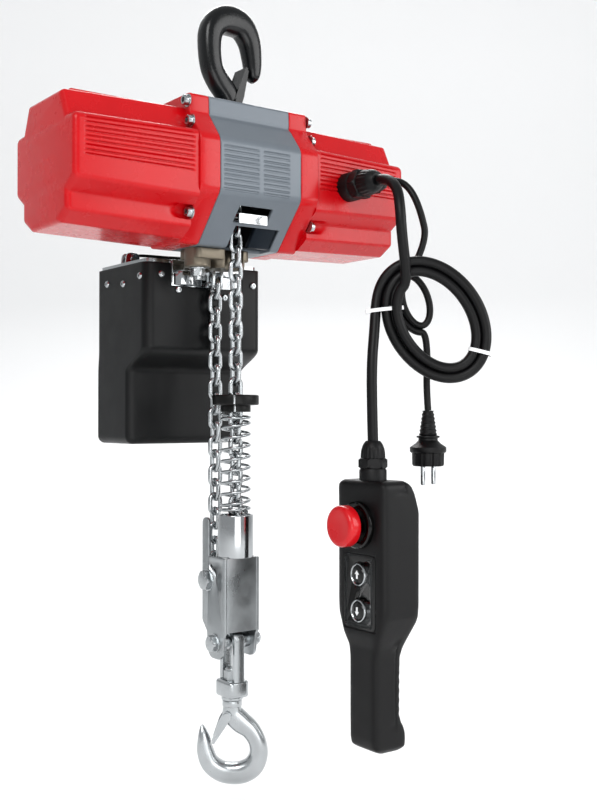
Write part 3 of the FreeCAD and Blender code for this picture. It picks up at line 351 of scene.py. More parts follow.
rubber = finish("cable_rubber", "#020203", 0.44, grain=1200, bump=0.10, drift=0.15, dull=0.05)
dark_rubber = finish("bumper_rubber", "#020202", 0.38, bump=0.05)
dark_guide = finish("guide_blue_black", "#0E1720", 0.32, metal=0.5, bump=0.1)
red_plastic = finish("red_plastic", "#BC0812", 0.30, coat=0.3, grain=800, bump=0.03, drift=0.05, dull=0.04)
white = finish("white_print", "#E6E7E8", 0.45, bump=0.02, drift=0.04)
board = finish("board_green", "#1E5A35", 0.5, bump=0.1)

kept = {iron: ["gearbox_plate", "motor_shield", "stator_core", "brake_coil", "brake_disc", "load_sheave"],
        copper: ["stator_windings"], board: ["control_board"], box_black: ["limit_switch", "switch_block"],
        satin: ["brake_armature", "shaft_bearings", "rotor", "countershaft", "output_gear", "top_hook_nut",
                "load_hook_nut"],
        forged_black: ["top_hook_latch", "top_latch_pin"], zinc: ["load_hook_latch", "load_latch_pin"]}
for material, names in kept.items():
    for name in names:
        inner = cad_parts[name]
        inner.data.materials.clear()
        inner.data.materials.append(material)

# %% [markdown]
# ## Body
# The covers and the housing share one way of making: a cross-section in YZ, sampled every half millimetre,
# is carried along X. Grooves, screw scoops and the drafted end are displacements of that section.
# %% Body sections
FLANGE = [(48, 75, 3), (49, 56, 5), (70, 30, 16), (70, -21, 14), (28, -68, 7)]
COVER = [(38, 62, 3), (50, 37, 2), (67, 36, 7), (67, -28, 6), (50, -39, 2), (50, -55, 4), (33, -65, 4)]
HALF_X, FLANGE_X, LEFT_X, RIGHT_X, DRAFT = 47.4, 70.0, -198.0, 187.0, 3.0
SCREWS = [(y * s, z) for y, z in ((46, 67), (53, 46), (52, -42)) for s in (-1, 1)]


def section(half, step=0.6, inset=0.0):
    """The closed outline in (y, z) that mirrors a half outline, with its corners rounded. An inset moves
    every corner in and shrinks its radius, with the same number of points."""
    loops = []
    for d in (0.0, inset):
        side = [(y - d, z - math.copysign(d, z), max(r - d, 0.6)) for y, z, r in half]
        loops.append(outline(side + [(-y, z, r) for y, z, r in reversed(side)], 9))
    base, moved_in = loops
    after = np.roll(base, -1, axis=0)
    count = np.maximum(1, np.ceil(np.linalg.norm(after - base, axis=1) / step).astype(int))
    t = np.concatenate([np.arange(n) / n for n in count])[:, None]
    index = np.repeat(np.arange(len(base)), count)
    return moved_in[index] * (1 - t) + np.roll(moved_in, -1, axis=0)[index] * t


def smooth(t):
    """s(t) = t^2 (3 - 2t) between 0 and 1."""
    t = np.clip(t, 0, 1)
    return t * t * (3 - 2 * t)


def between(x, low, high, soft=1.5):
    """1 inside low..high and 0 outside, over a soft edge."""
    return smooth((x - low) / soft) * smooth((high - x) / soft)


def grooves(z, top, pitch, count, width):
    """Lengthwise groove profile 0..1: flat-bottomed slots of a width below top, top - pitch, ..."""
    k = (top - z) / pitch
    inside = (k > -0.1) & (k < count - 0.2)
    phase = (k % 1.0) * pitch
    return inside * smooth(phase / 0.8) * smooth((width - phase) / 0.8)


def carried(loop, x, shift):
    """P(x, s) = (x, loop(s) + shift(x, s)) as a grid of (len(x), len(loop), 3)."""
    base = np.broadcast_to(loop[None], (len(x),) + loop.shape) + shift
    along = np.broadcast_to(np.asarray(x, float)[:, None, None], base.shape[:2] + (1,))
    return np.concatenate([along, base], axis=-1)


def cover(side, end):
    """A cast cover from its flange to its end: the section is drafted by 3 mm in height, grooved on its
    flats, scooped round each low screw, and rounded into its end face by a quarter circle."""
    edge = 5.0
    loop = section(COVER)
    out = normals(loop)
    inward = section(COVER, inset=edge) - loop
    length = abs(end) - FLANGE_X
    s = np.concatenate([np.linspace(-1, 8, 14), np.linspace(9, length - edge - 12, 34),
                        np.linspace(length - edge - 11, length - edge, 14)])
    t = np.linspace(0, math.pi / 2, 9)[1:]
    inset = np.concatenate([0 * s, 1 - np.cos(t)])
    s = np.concatenate([s, length - edge + edge * np.sin(t)])
    y, z = loop[None, :, 0], loop[None, :, 1]
    fall = np.zeros((len(s), len(loop), 2))
    fall[..., 1] = -np.clip(z / 28, -1, 1) * DRAFT * (s / length)[:, None]
    flat = smooth((np.abs(y) - 64.6) / 1.6)
    slot = grooves(z, 32.5, 4.5, 9, 2.3) * flat * between(s, 4, length - 10, 3)[:, None]
    shift = fall - out[None] * (1.5 * slot)[..., None] + inward[None] * inset[:, None, None]
    for cy, cz in SCREWS:
        away = np.stack([y + 0 * s[:, None] - cy, z + 0 * s[:, None] - cz], axis=-1)
        far = np.linalg.norm(away, axis=-1, keepdims=True)
        push = np.maximum(7.2 - far, 0) * smooth((26 - s) / 18)[:, None, None]
        shift = shift + away / far * push
    return grid(carried(loop, side * (FLANGE_X + s), shift), close_v=True, caps=True)


def flange(side):
    """The flange band: the wide section with both rims rounded, a fine seam line beside the housing."""
    loop = section(FLANGE, 1.5)
    low, high = sorted((side * (HALF_X + 0.25), side * FLANGE_X))
    return slab(loop, "x", low, high, 1.4, 4)


def top_details(side, end):
    """The raised screw block beside the flange and the rail on the roof, both sunk into the roof."""
    x0, x1 = sorted((side * (FLANGE_X - 1), side * (FLANGE_X + 28)))
    block = slab(outline([(x0, -15, 4), (x1, -15, 5), (x1, 15, 5), (x0, 15, 4)]), "z", 56, 68.5, 2.2, 4)
    x0, x1 = sorted((side * (FLANGE_X + 34), end - side * 13))
    rail = slab(outline([(x0, -30, 2), (x1, -30, 2), (x1, 30, 2), (x0, 30, 2)]), "z", 55, 63.5, 1.4, 3)
    return [block, rail]


def screw_head(y, z, side):
    """A socket head screw: a rounded drum with a round recess, and its washer."""
    start, axis = (side * (FLANGE_X + 0.1), y, z), (side, 0, 0)
    drum = [(0, 2.0), (2.4, 2.0), (2.5, 5.6), (4.2, 5.6), (4.8, 5.1), (4.9, 4.6), (4.9, 0.8), (6.3, 0.75),
            (6.4, 0), (0, 0)]
    return lathe(drum, start, axis, 36)


for side, end, name in ((-1, LEFT_X, "left"), (1, RIGHT_X, "right")):
    piece(name + "_cover_shell", [cover(side, end), flange(side)] + top_details(side, end), red, "hoist",
          [name + "_cover"])
piece("cover_screw_heads", [screw_head(y, z, side) for side in (-1, 1) for y, z in SCREWS], zinc, "hoist",
      ["cover_screws"])


# %% [markdown]
# The housing is a skin with the chain's openings left out of its grid, then given thickness by Solidify.
# %% Centre housing
def housing():
    """The grooved skin of the housing. Grid lines fall on the openings' borders, so that leaving out the
    quads inside them makes clean rectangular holes."""
    loop = section(FLANGE, 0.7)
    out = normals(loop)
    marks = [-20, -15, 20, 38]
    x = np.unique(np.concatenate([np.linspace(-HALF_X, HALF_X, 96), marks]))
    y, z = loop[None, :, 0], loop[None, :, 1]
    window = between(x, -44, -3)[:, None] + between(x, 2, 34)[:, None]
    slot = grooves(z, 24, 4.6, 10, 2.6) * (np.abs(y) > 67) * window
    band = 0.8 * np.exp(-((z - 56) / 2.5) ** 2) * np.ones((len(x), 1))
    points, faces = grid(carried(loop, x, -out[None] * (1.1 * slot + band)[..., None]), close_v=True)
    quads = faces[0]
    cx, cy, cz = points[quads].mean(axis=1).T
    hole = (np.abs(cx) < 20) & (cy < -30) & (cz < -31) & (cz > -46)
    hole |= (cx > -15) & (cx < 38) & (cy < -10) & (cz < -48.5)
    slack = (np.abs(cx) < 12) & (cy > 14) & (cz < -44)
    return points, [quads[~(hole | slack)]]


shell = piece("housing_shell", [housing()], grey, "hoist", ["center_housing"])
thick = shell.modifiers.new("wall", "SOLIDIFY")
thick.thickness, thick.offset = 0.005, -1.0


# %% [markdown]
# ## Forged hooks
# A hook is a tube whose centre line, in-plane half width a and half thickness b are given at stations and
# interpolated by Catmull-Rom; its section is a superellipse |x/a|^n + |y/b|^n = 1.
# %% Hooks
def catmull(stations, count):
    """Catmull-Rom through the stations: p(t) = [1 t t^2 t^3] B [p0 p1 p2 p3], with doubled ends."""
    p = np.asarray(stations, float)
    p = np.concatenate([2 * p[:1] - p[1:2], p, 2 * p[-1:] - p[-2:-1]])
    u = np.linspace(0, len(stations) - 1, count)
    k = np.minimum(u.astype(int), len(stations) - 2)
    t = (u - k)[:, None]
    a, b, c, d = (p[k + i] for i in range(4))
    square, cube = 2 * a - 5 * b + 4 * c - d, 3 * b - a - 3 * c + d
    return 0.5 * (2 * b + (c - a) * t + square * t ** 2 + cube * t ** 3)


def forging(stations, power=2.7, count=110, n=36):
    """P(s, t) = c(s) + a(s) N sgn cos |cos t|^(2/n) + b(s) Y sgn sin |sin t|^(2/n), with N in the XZ
    plane."""
    s = catmull(stations, count)
    centre = np.stack([s[:, 0], 0 * s[:, 0], s[:, 1]], axis=1)
    tangent = np.gradient(centre, axis=0)
    tangent /= np.linalg.norm(tangent, axis=1, keepdims=True)
    normal = np.stack([tangent[:, 2], 0 * tangent[:, 0], -tangent[:, 0]], axis=1)
    t = np.linspace(0, TAU, n, endpoint=False)[None, :, None]
    cos, sin = (np.sign(f(t)) * np.abs(f(t)) ** (2 / power) for f in (np.cos, np.sin))
    across = np.abs(s[:, 2])[:, None, None] * normal[:, None] * cos
    thick = np.abs(s[:, 3])[:, None, None] * np.array([0, 1.0, 0]) * sin
    return grid(centre[:, None] + across + thick, close_v=True, caps=True)


HOOK_X = 6.0
top_stations = [(0, 78, 9.5, 10), (0.2, 88, 10.4, 10.4), (-4, 97, 11.6, 10.6), (-13, 107, 11.4, 10.8),
                (-21, 120, 10.8, 11), (-24, 139, 11, 11.4), (-22.6, 157, 12, 11.8), (-14, 169, 13.4, 11.8),
                (0.5, 173, 15, 11.6), (15, 169, 13.8, 11.2), (24.2, 156, 11.6, 10.8), (27.8, 139, 9.8, 10),
                (28.8, 125, 8.2, 9), (28.8, 117, 5.6, 7), (28.6, 113.2, 1.6, 2.4)]
boss = lathe([(0, 75.4), (13.6, 75.4), (14, 75.8), (14, 79.3), (13.2, 80), (9.5, 80.4), (0, 80.4)], n=48)
shank = rod(8.9, 42, (0, 0, 37), (0, 0, 1), 0.8)
piece("top_hook_forging", [moved(s, (HOOK_X, 0, 0)) for s in (forging(top_stations), boss, shank)],
      forged_black, "top_hook", ["top_hook"])

load_stations = [(0, -531, 9, 8.5), (1, -540, 10.5, 8.5), (8.5, -548, 11, 8.6), (18.5, -556, 9.6, 8.8),
                 (25.5, -568, 9, 9), (26.8, -581, 9.6, 9), (21.5, -592.5, 10.6, 9), (11.5, -598.6, 11, 9),
                 (0, -600, 10.8, 9), (-11.8, -597.6, 10.2, 9), (-22, -590, 9.4, 9), (-27, -578, 8.6, 8.6),
                 (-28.6, -566, 6.6, 7.6), (-29.8, -557, 4, 5.6), (-30.6, -551.6, 1.4, 2.4)]
neck = rod(10, 6.6, (0, 0, -532), (0, 0, 1), 0.8)
stem = rod(6.95, 39, (0, 0, -532), (0, 0, 1), 0.8)
SHANK_Y, YOKE_Z = -16.0, -466.0
HOOK_TURN = turn((0, 0, 1), -36)
load_hook = [moved(s, (0, SHANK_Y, 0), HOOK_TURN) for s in (forging(load_stations), neck, stem)]
piece("load_hook_forging", load_hook, zinc, "load_hook", ["load_hook"])

# %% [markdown]
# ## Chain
# A link is a round wire swept round a racetrack, 15 mm inside length. Links stand on the fall lines, on
# the chain wheels, and in the slack run, in the same places as in the CAD.
# %% Chain
WIRE, PITCH, WIDTH = 4.9, 15.0, 17.0
ARC = (WIDTH - WIRE) / 2
STRAIGHT = PITCH + 5 - 2 * ARC
RUN = 404 / 27


def racetrack():
    """Points (x, 0, z) of a stadium: two half circles of radius ARC, their centres STRAIGHT apart."""
    t = np.linspace(0, math.pi, 13)
    x = np.concatenate([ARC * np.cos(t), -ARC * np.cos(t)])
    z = np.concatenate([STRAIGHT / 2 + ARC * np.sin(t), -STRAIGHT / 2 - ARC * np.sin(t)])
    return np.stack([x, 0 * x, z], axis=1)


link = sweep(racetrack(), WIRE / 2, 14, closed=True, up=(0, 1, 0))


def placed(y, z, tilt, across, x=0.0):
    """A link tilted from the vertical about X, with its width along X or along Y."""
    matrix = turn((1, 0, 0), tilt) @ (np.eye(3) if across else turn((0, 0, 1), 90))
    return moved(link, (x, y, z), matrix)


def wheel_radii(step, slack=0.95):
    """Radii of flat and standing links on a wheel that turns a link by step degrees."""
    a = math.radians(step)
    standing = (10 + 4 * math.cos(a) + slack * math.cos(a / 2)) / math.sin(a)
    return standing * math.cos(a) + 4 * math.sin(a) + slack * math.sin(a / 2), standing


def on_wheel(y, z, degrees, radius, across):
    a = math.radians(degrees)
    return placed(y + radius * math.cos(a), z + radius * math.sin(a), degrees, across)


SHEAVE_FLAT, SHEAVE_STAND = wheel_radii(36)
IDLER_FLAT, IDLER_STAND = wheel_radii(45)
LIVE_Y = -SHEAVE_FLAT
IDLER_Y = LIVE_Y + IDLER_STAND
DEAD_Y = IDLER_Y + IDLER_STAND
IDLER_Z = -404.0
live = [placed(LIVE_Y, -RUN * k, 0, k % 2 == 0) for k in range(1, 27)]
wrap = [on_wheel(IDLER_Y, IDLER_Z, 180 + 45 * k, IDLER_FLAT if k % 2 else IDLER_STAND, k % 2 == 1)
        for k in range(5)]
dead = [placed(DEAD_Y + 0.05 * k, IDLER_Z + RUN * k, 0, k % 2 == 1) for k in range(1, 21)]
drive = [on_wheel(0, 0, 180 - 36 * k, SHEAVE_STAND if k % 2 else SHEAVE_FLAT, k % 2 == 0) for k in range(5)]
y, z, tilt = SHEAVE_FLAT * math.cos(math.radians(36)), SHEAVE_FLAT * math.sin(math.radians(36)), 36.0
for k in range(1, 15):
    y, z = y + 14.7 * math.sin(math.radians(tilt)), z - 14.7 * math.cos(math.radians(tilt))
    tilt = max(tilt - 9.0, 0.0) if k >= 5 else tilt
    drive.append(placed(y, z, tilt, k % 2 == 0))
live_fall = piece("live_fall", live, zinc, "hoist", ["load_chain"], smooth=60)
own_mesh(live_fall)
dead_fall = piece("dead_fall", dead, zinc, "hoist", smooth=60)
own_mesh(dead_fall)
piece("idler_links", wrap, zinc, "block", smooth=60)
piece("driven_links", drive, zinc, "hoist", ["drive_chain"], smooth=60)
rng = np.random.default_rng(7)
heap = []
for k in range(170):
    low = rng.uniform(-255, -216)
    spin = turn(rng.normal(size=3), rng.uniform(0, 360))
    heap.append(moved(link, (rng.uniform(-58, 48), rng.uniform(84, 124), low), spin))
piece("stored_links", heap, zinc, "hoist", ["stored_chain"], smooth=60)

# %% [markdown]
# ## Guide, limit plate and anchor
# %% Guide and anchor
bosses = [lathe([(0, -87), (r - 1, -87), (r, -86), (r, -68.2), (0, -68.2)], (x, -4, 0), n=72)
          for x, r in ((-34, 13.5), (0, 19))]
bridge_loop = resampled(outline([(-44, -19, 6), (20, -19, 6), (20, 18, 6), (-44, 18, 6)], 9), 2)
bridge = slab(bridge_loop, "z", -79, -68.2, 1)
guide = piece("chain_guide_casting", bosses + [bridge], bronze, "hoist", ["chain_guide"])
cut(guide, [rod(11.5, 40, (0, LIVE_Y, -100), (0, 0, 1), 0.1, 64)])
guard = np.array([(-48, -42), (-28, -66), (-20, -66.5), (-40, -41.5)])
arch = slab(resampled(outline([(*p, 2) for p in guard], 5), 3), "x", 5, 31, 1.0, 3)
plate = slab(outline([(-17, -47, 1), (17, -47, 1), (17, -37, 1), (-17, -37, 1)]), "y", -54.6, -51.6, 0.4)
arm_loop = outline([(-52, -40, 0.5), (-40, -40, 0.5), (-40, -36.5, 0.5), (-52, -36.5, 0.5)])
arms = [slab(arm_loop, "x", x, x + 3, 0.2) for x in (-17, 14)]
pivot = rod(2, 40, (-20, -41, -38), (1, 0, 0))
piece("limit_plate", [plate] + arms + [pivot], polished, "limit_lever", ["limit_lever"])
piece("chain_guard", [moved(arch, (6, 0, 0))], dark_guide, "hoist")
ANCHOR_Y, ANCHOR_Z = DEAD_Y + 1.0, IDLER_Z + RUN * 20 + 4.75
cheek = outline([(ANCHOR_Y - 6, ANCHOR_Z - 6, 5), (ANCHOR_Y + 6, ANCHOR_Z - 6, 5), (ANCHOR_Y + 6, -87, 0.4),
                 (ANCHOR_Y - 6, -87, 0.4)])
clevis = [slab(cheek, "x", x, x + 3.4, 0.5) for x in (-6.6, 3.2)]
pin = rod(2.6, 17, (-8.5, ANCHOR_Y, ANCHOR_Z), (1, 0, 0))
stud = [nut(13, 9, (-34, -4, -96.2), (0, 0, 1)), rod(4, 13, (-34, -4, -100), (0, 0, 1)),
        collar(8.4, 4.1, 1.6, (-34, -4, -88.6), (0, 0, 1))]
piece("anchor_clevis", clevis + [pin] + stud, zinc, "hoist", ["chain_anchor"])


# %% [markdown]
# ## Chain container
# The box is one skin over (z, s): a rounded rectangle whose front edge moves back below the ledge and
# whose bottom is rounded by a quarter circle. The rim's notch is left out of the grid.
# %% Chain container
BOX_X, BOX_Y, BOX_TOP, BOX_LOW, BOX_R = (-76.0, 66.0), (28.0, 142.0), -80.0, -267.0, 10.0


def box_loop(inset=0.0, step=2.0):
    """The container's plan as a closed loop, with points set on the notch's two sides."""
    x0, x1, y0, y1 = BOX_X[0] + inset, BOX_X[1] - inset, BOX_Y[0] + inset, BOX_Y[1] - inset
    r = BOX_R - inset
    loop = resampled(outline([(x0, y0, r), (x1, y0, r), (x1, y1, r), (x0, y1, r)], 9), step)
    front = loop[:, 1] < y0 + 0.01
    for x in (-46, 40):
        k = np.argmin(np.where(front, np.abs(loop[:, 0] - x), 999))
        loop[k, 0] = x
    return loop


def container():
    """P(z, s): y is squeezed towards the back wall by the ledge's advance f(z) = 38 smooth((-166 - z)/26)."""
    loop = box_loop()
    out = normals(loop)
    edge = 8.0
    t = np.linspace(0, math.pi / 2, 8)[1:]
    z = np.concatenate([np.linspace(BOX_TOP, -103, 9), np.linspace(-106, -164, 16),
                        np.linspace(-166, -196, 22), np.linspace(-200, BOX_LOW + edge, 14)])
    inset = np.concatenate([0 * z, edge * (1 - np.cos(t))])
    z = np.concatenate([z, BOX_LOW + edge - edge * np.sin(t)])
    advance = 38 * smooth((-166 - z) / 26)
    depth = (BOX_Y[1] - BOX_Y[0] - advance) / (BOX_Y[1] - BOX_Y[0])
    flat = loop[None] - out[None] * inset[:, None, None]
    y = BOX_Y[1] - (BOX_Y[1] - flat[..., 1]) * depth[:, None]
    bulge = 1.2 * np.sin(np.pi * np.clip((loop[None, :, 0] + 66) / 122, 0, 1)) * (loop[None, :, 1] < 30)
    y = y - bulge * smooth((-104 - z) / 20)[:, None] * smooth((z + 166) / 20)[:, None]
    points = np.stack([flat[..., 0], y, z[:, None] + 0 * y], axis=-1)
    points, faces = grid(points, close_v=True)
    centre = points[faces[0]].mean(axis=1)
    notch = (centre[:, 0] > -46) & (centre[:, 0] < 40) & (centre[:, 1] < 34) & (centre[:, 2] > -103)
    low = len(points) - len(loop)
    return points, [faces[0][~notch], np.arange(low, len(points))[None, :]]


box = piece("container_shell", [container()], box_black, "hoist", ["chain_container"])
wall = box.modifiers.new("wall", "SOLIDIFY")
wall.thickness, wall.offset = 0.003, -1.0
rim = box.modifiers.new("rim", "BEVEL")
rim.width, rim.segments, rim.limit_method, rim.angle_limit = 0.0008, 2, "ANGLE", math.radians(60)

heads = []
for face, across, z in (("x", 106, -96), ("x", 69, -99), ("x", 32, -94), ("y", -58, -92), ("y", -38, -107),
                        ("y", 18, -112), ("y", 54, -97)):
    start = (BOX_X[0], BOX_Y[0] + across - 20, z) if face == "x" else (across, BOX_Y[0] - 0.3, z)
    axis = (-1, 0, 0) if face == "x" else (0, -1, 0)
    button = [(0, 1.0), (1.1, 1.0), (1.3, 2.1), (2.6, 2.0), (3.5, 1.2), (3.8, 0.2), (3.8, 0), (0, 0)]
    heads.append(lathe(button, start, axis, 30))
piece("container_screw_heads", heads, zinc, "hoist", ["container_screws"])


def ring_plate(outer, inner, low, high):
    """A flat ring between two loops of equal count, as a grid closed across its section."""
    loops = np.stack([outer, outer, inner, inner])
    return grid(lift(loops, [low, high, high, low], "z"), close_u=True, close_v=True)


def rectangle(x0, x1, y0, y1, r, per=8):
    return outline([(x0, y0, r), (x1, y0, r), (x1, y1, r), (x0, y1, r)], per)


outer = rectangle(-72.7, 62.7, 31.3, 138.7, 7)
frame_parts = [ring_plate(outer, rectangle(-70.2, 60.2, 33.8, 136.2, 5), -106, -79),
               ring_plate(outer, rectangle(-50, 50, 46, 128, 8), -79, -76),
               slab(outline([(-45.7, -90, 0.5), (39.7, -90, 0.5), (39.7, -76, 2), (-45.7, -76, 2)]), "y",
                    27.5, 33.5, 0.5)]
a = np.radians(np.linspace(182, 358, 30))
cup = np.concatenate([np.stack([-27 + 17 * np.cos(a), 40 + 17 * np.sin(a)], 1),
                      np.stack([-27 + 14.6 * np.cos(a[::-1]), 40 + 14.6 * np.sin(a[::-1])], 1)])
frame_parts.append(slab(cup, "z", -101.5, -87.4, 0.3))
ear = outline([(-70, -77, 0.4), (-52, -77, 0.4), (-54, -64, 5), (-68, -64, 5)])
frame_parts += [slab(ear, "y", y, y + 3, 0.5) for y in (84, 93)]
frame_parts += [rod(3, 16, (-61, 82, -69), (0, 1, 0)), nut(9, 4, (-61, 98, -69), (0, 1, 0))]
piece("container_frame_shell", frame_parts, polished, "hoist", ["container_frame"])
hanger_route = [(-61, 90, -69), (-52, 90, -66), (-40, 88, -65.5), (-22, 80, -66.5), (-12, 60, -69)]
hanger = sweep(catmull(hanger_route, 40), 1.7)
piece("container_hanger", [hanger], dark_rubber, "hoist")

# %% [markdown]
# ## Bottom block
# %% Bumper, spring and tube
TUBE_TOP, COLLAR_Z, BUMPER_TOP = -337.2, -233.4, -216.0
disc = outline([(10, BUMPER_TOP - 11, 0.8), (23.7, BUMPER_TOP - 10.3, 1.6), (23.7, BUMPER_TOP, 1.8),
                (12, BUMPER_TOP, 1.4), (10, BUMPER_TOP - 3, 0.8)], 5)
skirt = outline([(10, COLLAR_Z, 0.5), (15.5, COLLAR_Z, 1), (15.2, BUMPER_TOP - 9, 0.5),
                 (10, BUMPER_TOP - 9, 0.5)], 5)
piece("bumper_disc", [lathe(disc, (0, LIVE_Y, 0), closed=True, n=72),
                      lathe(skirt, (0, LIVE_Y, 0), closed=True, n=60)], dark_rubber, "bumper", ["bumper"])
seams = []
for far, z0, z1 in ((15.9, COLLAR_Z, BUMPER_TOP - 10.5), (24, BUMPER_TOP - 9.6, BUMPER_TOP - 1)):
    strip = outline([(-0.9, -far, 0.2), (0.9, -far, 0.2), (0.9, -far + 2, 0.2), (-0.9, -far + 2, 0.2)])
    seams.append(slab(strip, "z", z0, z1, 0.2))
piece("bumper_clamp", [moved(k, (0, LIVE_Y, 0), turn((0, 0, 1), -36)) for k in seams], polished, "bumper")

low, high, turns, coil_r, wire_r = TUBE_TOP + 1.6, COLLAR_Z - 1.6, 10.5, 14.1, 1.5
u = np.linspace(0, 1, int(turns * 30))
closed_ends = smooth(turns * u / 1.5) + smooth((turns * u - turns + 1.5) / 1.5)
rise = (turns * u - 0.75 * closed_ends) / (turns - 1.5)
path = np.stack([coil_r * np.cos(TAU * turns * u), LIVE_Y + coil_r * np.sin(TAU * turns * u),
                 low + (high - low) * np.clip(rise, 0, 1)], axis=1)
spring = piece("bumper_coil", [sweep(path, wire_r, 14)], spring_steel, "block", ["bumper_spring"], smooth=60)
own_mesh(spring)
tube = outline([(15.8, -380, 0.4), (18.2, -380, 0.4), (18.2, TUBE_TOP, 0.9), (15.8, TUBE_TOP, 0.9)], 5)
piece("block_sleeve", [lathe(tube, (0, LIVE_Y, 0), closed=True, n=72)], polished, "block", ["block_tube"])


# %% Block frame, bolts and yoke
HALF, PLATE = 20.5, 3.0
side_loop = outline([(-34.5, -380, 1), (-34.5, -454, 2), (-32, -458, 5), (-29, -482, 10), (-3, -482, 10),
                     (0, -456, 6), (9, -446, 6), (9, -341, 6), (LIVE_Y + 18.6, -341, 5),
                     (LIVE_Y + 18.6, -380, 1)], 8)
a = np.radians(np.linspace(100, 165, 24))
slot_loop = np.concatenate([[IDLER_Y, IDLER_Z] + radius * np.stack([np.cos(b), np.sin(b)], 1)
                            for radius, b in ((17.5, a), (14.5, a[::-1]))])
cheeks = [slab(side_loop, "x", x, x + PLATE, 0.6) for x in (-HALF, HALF - PLATE)]
cheeks = piece("block_cheeks", cheeks, satin, "block", ["block_frame"])
cut(cheeks, [slab(slot_loop, "x", x - 1, x + PLATE + 1, 0.01) for x in (-HALF, HALF - PLATE)])
front = slab(outline([(-HALF + PLATE, -454, 1), (HALF - PLATE, -454, 1), (HALF - PLATE, -380, 0.5),
                      (-HALF + PLATE, -380, 0.5)]), "y", -34.4, -31.5, 0.4)
piece("block_front", [front], satin, "block")


def bolt(y, z, radius, across, tail):
    """A bolt through both cheeks: chamfered head, washers, lock nut with its domed collar, and stem."""
    x, along, washer = HALF, (1, 0, 0), across * 0.62
    dome = [(0, 0), (across / 2 - 1, 0), (across / 2 - 1.2, 2), (radius + 1, 3), (0, 3.1)]
    return [nut(across, 7, (-x - 7, y, z), along),
            collar(washer, radius, 1.3, (-x - 1.2, y, z), along),
            rod(radius, 2 * x + tail, (-x, y, z), along, 0.8),
            collar(washer, radius, 1.3, (x, y, z), along),
            nut(across, 7, (x + 0.9, y, z), along, phase=0.3),
            lathe(dome, (x + 7.6, y, z), along)]


spacers = [collar(8, 5, 11, (x, SHANK_Y, YOKE_Z), (1, 0, 0)) for x in (-17.5, 6.5)]
bolts = bolt(IDLER_Y, IDLER_Z, 6, 18, 9) + bolt(SHANK_Y, YOKE_Z, 5, 15, 8) + spacers
piece("block_bolt_set", bolts, zinc, "block", ["block_bolts"])
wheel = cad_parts["idler_sheave"]
wheel.data.materials.clear()
wheel.data.materials.append(iron)

a = np.linspace(0, math.pi, 25)
arc_out = np.stack([SHANK_Y + 14 * np.cos(a), YOKE_Z + 14 * np.sin(a)], 1)
arc_in = np.stack([SHANK_Y + 9 * np.cos(a[::-1]), YOKE_Z + 9 * np.sin(a[::-1])], 1)
strap = np.concatenate([[[-2, -519]], arc_out, [[-30, -519], [-25, -519]], arc_in, [[-7, -519]]])
base = slab(outline([(-12, -31, 5), (12, -31, 5), (12, -1, 5), (-12, -1, 5)]), "z", -522, -505, 3, 5)
neck = rod(11, 4, (0, SHANK_Y, -525), (0, 0, 1), 0.6)
piece("yoke_forging", [slab(resampled(strap, 4), "x", -6, 6, 0.8), base, neck], zinc, "yoke", ["hook_yoke"])

# %% [markdown]
# ## Pendant control
# One closed surface over (z, s): a superellipse whose half width w(z), front x_f(z) and back x_b(z) follow
# the body and the handle. The seam and the recessed panel are displacements of it.
# %% Pendant
PEND_Y, FACE_X, SEAM_X, ESTOP_Z, UP_Z, DOWN_Z = -135.0, 69.0, 99.0, -343.0, -391.0, -426.0


def pendant():
    """P(z, s) = (x_c + h sgn cos |cos s|^(2/n), w sgn sin |sin s|^(2/n), z), pinched at the seam."""
    stretches = ((-300, -306, 9), (-307.5, -431, 84), (-432, -473, 42), (-475, -557, 36), (-558, -563, 8))
    z = np.concatenate([np.linspace(*stretch) for stretch in stretches])
    w = np.interp(z, [-563, -560, -557, -473, -463, -431, -421, -306, -302, -300],
                  [15, 18.8, 20, 20, 21.5, 35, 36, 36, 34.2, 30])
    front = np.interp(z, [-563, -560, -555, -461, -449, -306, -302, -300],
                      [83, 75.5, 72, 72, 69, 69, 70.2, 73])
    back = np.interp(z, [-563, -560, -547, -539, -531, -471, -459, -437, -330, -312, -303, -300],
                     [108, 113, 114, 111, 106, 106.5, 110, 118.5, 119, 113, 107, 102])
    kernel = np.ones(5) / 5
    w[2:-2], front[2:-2], back[2:-2] = (np.convolve(v, kernel, "valid") for v in (w, front, back))
    s = np.linspace(0, TAU, 300, endpoint=False)[None, :]
    cos, sin = (np.sign(f(s)) * np.abs(f(s)) ** (2 / 8.5) for f in (np.cos, np.sin))
    half, mid = ((back - front) / 2)[:, None], ((back + front) / 2)[:, None]
    x, y = mid - half * cos, w[:, None] * sin
    pinch = 1 - 0.04 * np.exp(-((x - SEAM_X) / 0.7) ** 2)
    y = y * pinch
    panel = between(y, -25, 25, 1.2) * between(z[:, None], -445, -370, 1.2) * (x < FACE_X + 4)
    waves = 0.5 + 0.5 * np.cos(TAU * (z[:, None] + 500) / 9)
    grip = waves * between(z[:, None], -539, -480, 6) * (x > SEAM_X + 2)
    x = x + 1.3 * panel - 0.7 * grip
    return grid(np.stack([x, y + PEND_Y, z[:, None] + 0 * x], axis=-1), close_v=True, caps=True)


def facing(profile, z, n=60):
    """A turned piece on the pendant's face: heights run outwards from the face, towards -X."""
    return lathe(profile, (FACE_X, PEND_Y, z), (-1, 0, 0), n)


